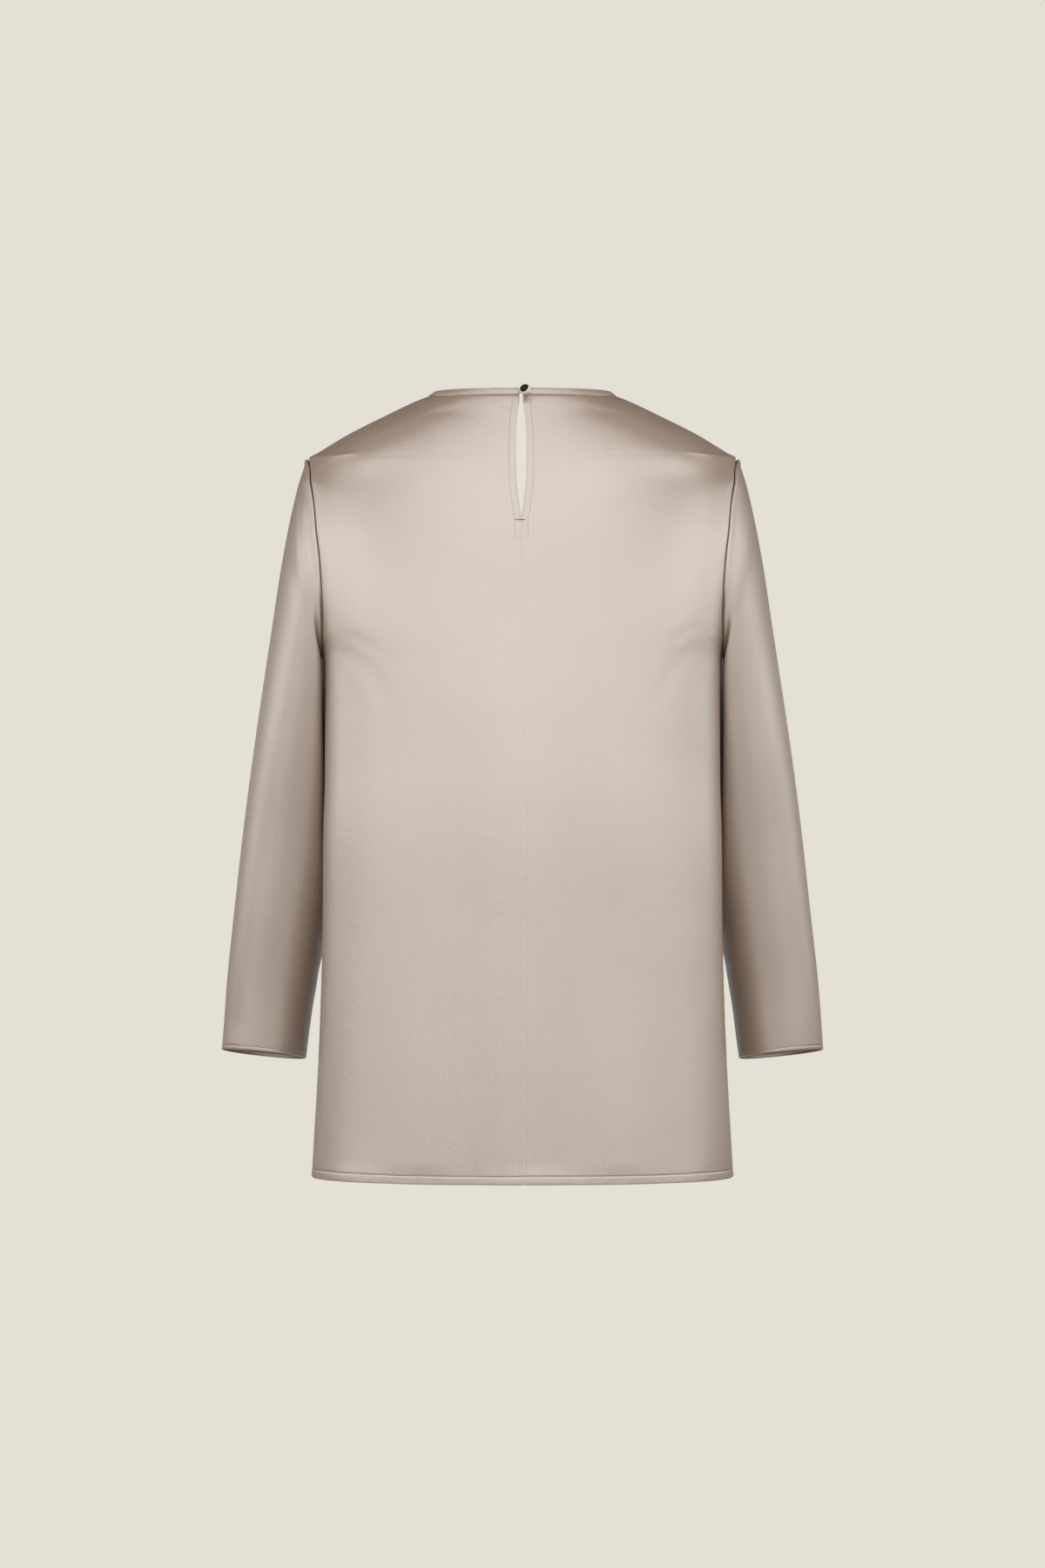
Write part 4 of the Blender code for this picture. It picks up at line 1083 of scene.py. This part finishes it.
# Stitches: small rounded threads laid along a path
def stitchTree():
    tree = bpy.data.node_groups.new("stitch_row", "GeometryNodeTree")
    tree.is_modifier = True
    face = tree.interface
    face.new_socket("Geometry", in_out="INPUT", socket_type="NodeSocketGeometry")
    for name in ("Pitch", "Stitch length", "Thread width", "Wobble", "Lie upright"):
        face.new_socket(name, in_out="INPUT", socket_type="NodeSocketFloat").default_value = 0.0
    face.new_socket("Seed", in_out="INPUT", socket_type="NodeSocketInt").default_value = 1
    face.new_socket("Thread", in_out="INPUT", socket_type="NodeSocketMaterial")
    face.new_socket("Geometry", in_out="OUTPUT", socket_type="NodeSocketGeometry")
    return buildNodes(tree, {}, {
        "start": ("NodeGroupInput", (-900, 0), {}, {}),
        "line": ("GeometryNodeMeshToCurve", (-700, 100), {}, {}),
        "spaced": ("GeometryNodeResampleCurve", (-520, 100), {"mode": "LENGTH"}, {}),
        "waver": ("FunctionNodeRandomValue", (-520, -150), {"data_type": "FLOAT_VECTOR"}, {}),
        "lower": ("ShaderNodeVectorMath", (-700, -200), {"operation": "SCALE"}, {0: (-1.0, -1.0, -1.0)}),
        "upper": ("ShaderNodeVectorMath", (-700, -350), {"operation": "SCALE"}, {0: (1.0, 1.0, 1.0)}),
        "moved": ("GeometryNodeSetPosition", (-330, 100), {}, {}),
        "tangent": ("GeometryNodeInputTangent", (-700, -520), {}, {}),
        "toward": ("ShaderNodeMix", (-520, -520), {"data_type": "VECTOR"}, {"B": (0.0, 0.0, 1.0)}),
        "aim": ("FunctionNodeAlignRotationToVector", (-330, -420), {"axis": "Z"}, {}),
        "bead": ("GeometryNodeMeshUVSphere", (-520, -780), {}, {"Segments": 6, "Rings": 5, "Radius": 0.5}),
        "size": ("ShaderNodeCombineXYZ", (-520, -950), {}, {}),
        "stretched": ("GeometryNodeTransform", (-330, -780), {}, {}),
        "laid": ("GeometryNodeInstanceOnPoints", (-120, 100), {}, {}),
        "real": ("GeometryNodeRealizeInstances", (80, 100), {}, {}),
        "smooth": ("GeometryNodeSetShadeSmooth", (240, 100), {}, {}),
        "painted": ("GeometryNodeSetMaterial", (400, 100), {}, {}),
        "end": ("NodeGroupOutput", (580, 100), {}, {}),
    }, (
        "start.Geometry > line.Mesh", "line.Curve > spaced.Curve", "start.Pitch > spaced.Length",
        "start.Wobble > lower.Scale", "start.Wobble > upper.Scale", "lower.Vector > waver.Min", "upper.Vector > waver.Max",
        "start.Seed > waver.Seed", "spaced.Curve > moved.Geometry", "waver.Value > moved.Offset",
        "start.Lie upright > toward.Factor", "tangent.Tangent > toward.A", "toward.Result > aim.Vector",
        "start.Thread width > size.X", "start.Thread width > size.Y", "start.Stitch length > size.Z",
        "bead.Mesh > stretched.Geometry", "size.Vector > stretched.Scale", "moved.Geometry > laid.Points",
        "stretched.Geometry > laid.Instance", "aim.Rotation > laid.Rotation", "laid.Instances > real.Geometry",
        "real.Geometry > smooth.Geometry", "smooth.Geometry > painted.Geometry", "start.Thread > painted.Material",
        "painted.Geometry > end.Geometry",
    ))


stitchRow = stitchTree()


def makeStitches(name, paths, settings):
    points, edges = [], []
    for path in paths:
        base = len(points)
        points += [tuple(point) for point in path]
        edges += [(base + i, base + i + 1) for i in range(len(path) - 1)]
    mesh = bpy.data.meshes.new(name + "_path")
    mesh.from_pydata(points, edges, [])
    holder = bpy.data.objects.new(name + "_path", mesh)
    scene.collection.objects.link(holder)
    modifier = holder.modifiers.new("Stitches", "NODES")
    modifier.node_group = stitchRow
    values = {**settings, "Thread": thread}
    for item in stitchRow.interface.items_tree:
        if item.item_type == "SOCKET" and item.in_out == "INPUT" and item.name in values:
            modifier[item.identifier] = values[item.name]
    bpy.context.view_layer.update()
    made = bpy.data.meshes.new_from_object(holder.evaluated_get(bpy.context.evaluated_depsgraph_get()))
    made.name = name
    holder.modifiers.remove(modifier)
    bpy.data.objects.remove(holder, do_unlink=True)
    return addPiece(name, made, thread)


stitches = {
    "hem": {"Pitch": 0.0029, "Stitch length": 0.0022, "Thread width": 0.00034, "Wobble": 0.00004, "Seed": 3},
    "cuff": {"Pitch": 0.0026, "Stitch length": 0.0020, "Thread width": 0.00032, "Wobble": 0.00004, "Seed": 5},
    "keyhole": {"Pitch": 0.0027, "Stitch length": 0.0020, "Thread width": 0.00030, "Wobble": 0.00005, "Seed": 7},
    "neck": {"Pitch": 0.0026, "Stitch length": 0.0020, "Thread width": 0.00030, "Wobble": 0.00003, "Seed": 9},
    "barTack": {"Pitch": 0.00036, "Stitch length": 0.0013, "Thread width": 0.00036, "Wobble": 0.00004, "Seed": 11,
                "Lie upright": 1.0},
    "barTackHalfWidth": 0.0045,
    "barTackHeight": -0.1250,
    "barTackShift": 0.0012,
    "barTackLift": 0.00012,
    "barTackPoints": 12,
    "keyholeLift": 0.00006,
}


def hemPath(surface, v, depth):
    middle = v.shape[1] // 2
    row = int(np.argmin(np.abs(v[-1, middle] - v[:, middle] - depth)))
    return surface[row]


def keyholePath(surface, u, v, distance):
    rows = (surface[:, 0, 2] > backPanel["facingEnd"]) & (v[:, 0] > 0.0025)
    points = []
    for row in np.nonzero(rows)[0]:
        points.append([np.interp(distance, u[row], surface[row, :, axis]) for axis in range(3)])
    return np.array(points)


hems = [hemPath(made[1], made[3], cut["hemDepth"]) for made in (backLeft, backRight, front)]
makeStitches("hem_stitches", hems, stitches["hem"])
for sleeve, name in ((sleeveLeft, "cuff_left_stitches"), (sleeveRight, "cuff_right_stitches")):
    ringPath = sleeve[1][sleeve[4]]
    makeStitches(name, [np.vstack((ringPath, ringPath[:1]))], stitches["cuff"])
leftPath, rightPath = (keyholePath(*made[1:4], backPanel["facingWidth"]) + (0.0, stitches["keyholeLift"], 0.0)
                       for made in (backLeft, backRight))
makeStitches("keyhole_stitches", [leftPath, rightPath, np.array((leftPath[-1], rightPath[-1]))], stitches["keyhole"])
neckPath = bindingFoot + bindingOut * 0.00005 + (bindingFoot - neckLine(0.0)) / cut["bindingWidth"] * 0.00035
makeStitches("neck_stitches", [neckPath], stitches["neck"])


def makeBarTack():
    height, count = stitches["barTackHeight"], stitches["barTackPoints"]
    middle = float(centreBackAt(-height)) + stitches["barTackShift"]
    x = np.linspace(-stitches["barTackHalfWidth"], stitches["barTackHalfWidth"], count) + middle
    row = int(np.argmin(np.abs(backLeft[1][:, 0, 2] - height)))
    across = np.vstack((backRight[1][row, 12::-1], backLeft[1][row, :13]))
    y = np.interp(x, across[:, 0], across[:, 1]) + stitches["barTackLift"]
    makeStitches("keyhole_bar_tack", [np.stack((x, y, np.full(count, height)), axis=-1)], stitches["barTack"])


makeBarTack()
print("stitches laid")

# Studio: a pale floor out of the photograph's frame, tiers of soft lights on the camera's side
studio = {
    "background": (0.776, 0.745, 0.665),
    "ambient": (0.06, 0.058, 0.055),
    "floorHeight": -1.46,
    "floorRadius": 1.25,
    "floorColour": (0.74, 0.71, 0.65),
    "floorSteps": 96,
    "lightDistance": 2.6,
    "lightColour": (1.0, 0.983, 0.96),
    "lights": (
        # name, azimuths from the camera, elevation, width, tall, brightness
        ("low_middle", (0.0,), -3.2, 1.45, 1.10, 1.70),
        ("low", (32.0, -32.0), -3.2, 1.45, 1.10, 1.70),
        ("low_side", (64.0, -64.0), -3.2, 1.45, 1.10, 1.45),
        ("level_middle", (0.0,), 20.0, 1.45, 1.30, 1.48),
        ("level", (32.0, -32.0), 20.0, 1.45, 1.30, 1.48),
        ("level_side", (64.0, -64.0), 20.0, 1.45, 1.30, 1.95),
        ("high_middle", (0.0,), 50.0, 1.70, 1.60, 2.2),
        ("high_side", (66.0, -66.0), 56.0, 0.90, 0.80, 3.04),
        ("far", (100.0, -100.0), 8.0, 1.50, 1.15, 2.2),
        ("behind", (128.0, -128.0), 0.0, 1.20, 1.20, 0.6),
        ("front_low", (180.0,), -48.0, 2.60, 1.20, 3.0),
        ("front_middle", (180.0,), -6.0, 3.00, 1.20, 0.5),
    ),
}


def makeLight(name, azimuth, elevation, width, tall, brightness):
    light = bpy.data.lights.new(name, "AREA")
    light.shape = "RECTANGLE"
    light.size, light.size_y = width, tall
    light.energy = brightness * math.pi * width * tall
    light.color = studio["lightColour"]
    lamp = bpy.data.objects.new(name, light)
    turn, rise = math.radians(azimuth), math.radians(elevation)
    target = Vector((0.0, 0.0, camera["height"]))
    toward = Vector((math.sin(turn) * math.cos(rise), math.cos(turn) * math.cos(rise), math.sin(rise)))
    lamp.location = target + toward * studio["lightDistance"]
    lamp.rotation_euler = (target - lamp.location).to_track_quat("-Z", "Y").to_euler()
    lamp.visible_camera = False
    scene.collection.objects.link(lamp)


def makeFloor():
    radius, steps = studio["floorRadius"], studio["floorSteps"]
    turns = [2 * math.pi * i / steps for i in range(steps)]
    points = [(math.cos(turn) * radius, math.sin(turn) * radius, studio["floorHeight"]) for turn in turns]
    mesh = bpy.data.meshes.new("pale_floor")
    mesh.from_pydata(points, [], [list(range(steps))])
    mesh.materials.append(newMaterial("pale_floor", {"Base Color": shaded(studio["floorColour"]), "Roughness": 0.8}, {}, ()))
    floor = bpy.data.objects.new("pale_floor", mesh)
    scene.collection.objects.link(floor)


def makeStudio():
    world = bpy.data.worlds.new("pale_studio")
    scene.world = world
    world.use_nodes = True
    world.node_tree.nodes.clear()
    buildNodes(world.node_tree, {}, {
        "seen": ("ShaderNodeBackground", (-200, 100), {}, {"Color": shaded(studio["background"])}),
        "lit": ("ShaderNodeBackground", (-200, -100), {}, {"Color": shaded(studio["ambient"])}),
        "path": ("ShaderNodeLightPath", (-200, 400), {}, {}),
        "mix": ("ShaderNodeMixShader", (0, 100), {}, {}),
        "out": ("ShaderNodeOutputWorld", (200, 100), {}, {}),
    }, ("path.Is Camera Ray > mix.Fac", "lit.Background > mix.1", "seen.Background > mix.2", "mix.Shader > out.Surface"))
    for name, azimuths, *sizes in studio["lights"]:
        sides = ("_left", "_right") if len(azimuths) == 2 else ("",)
        for side, azimuth in zip(sides, azimuths):
            makeLight(name + side, azimuth, *sizes)
    makeFloor()


makeStudio()
print("studio made")
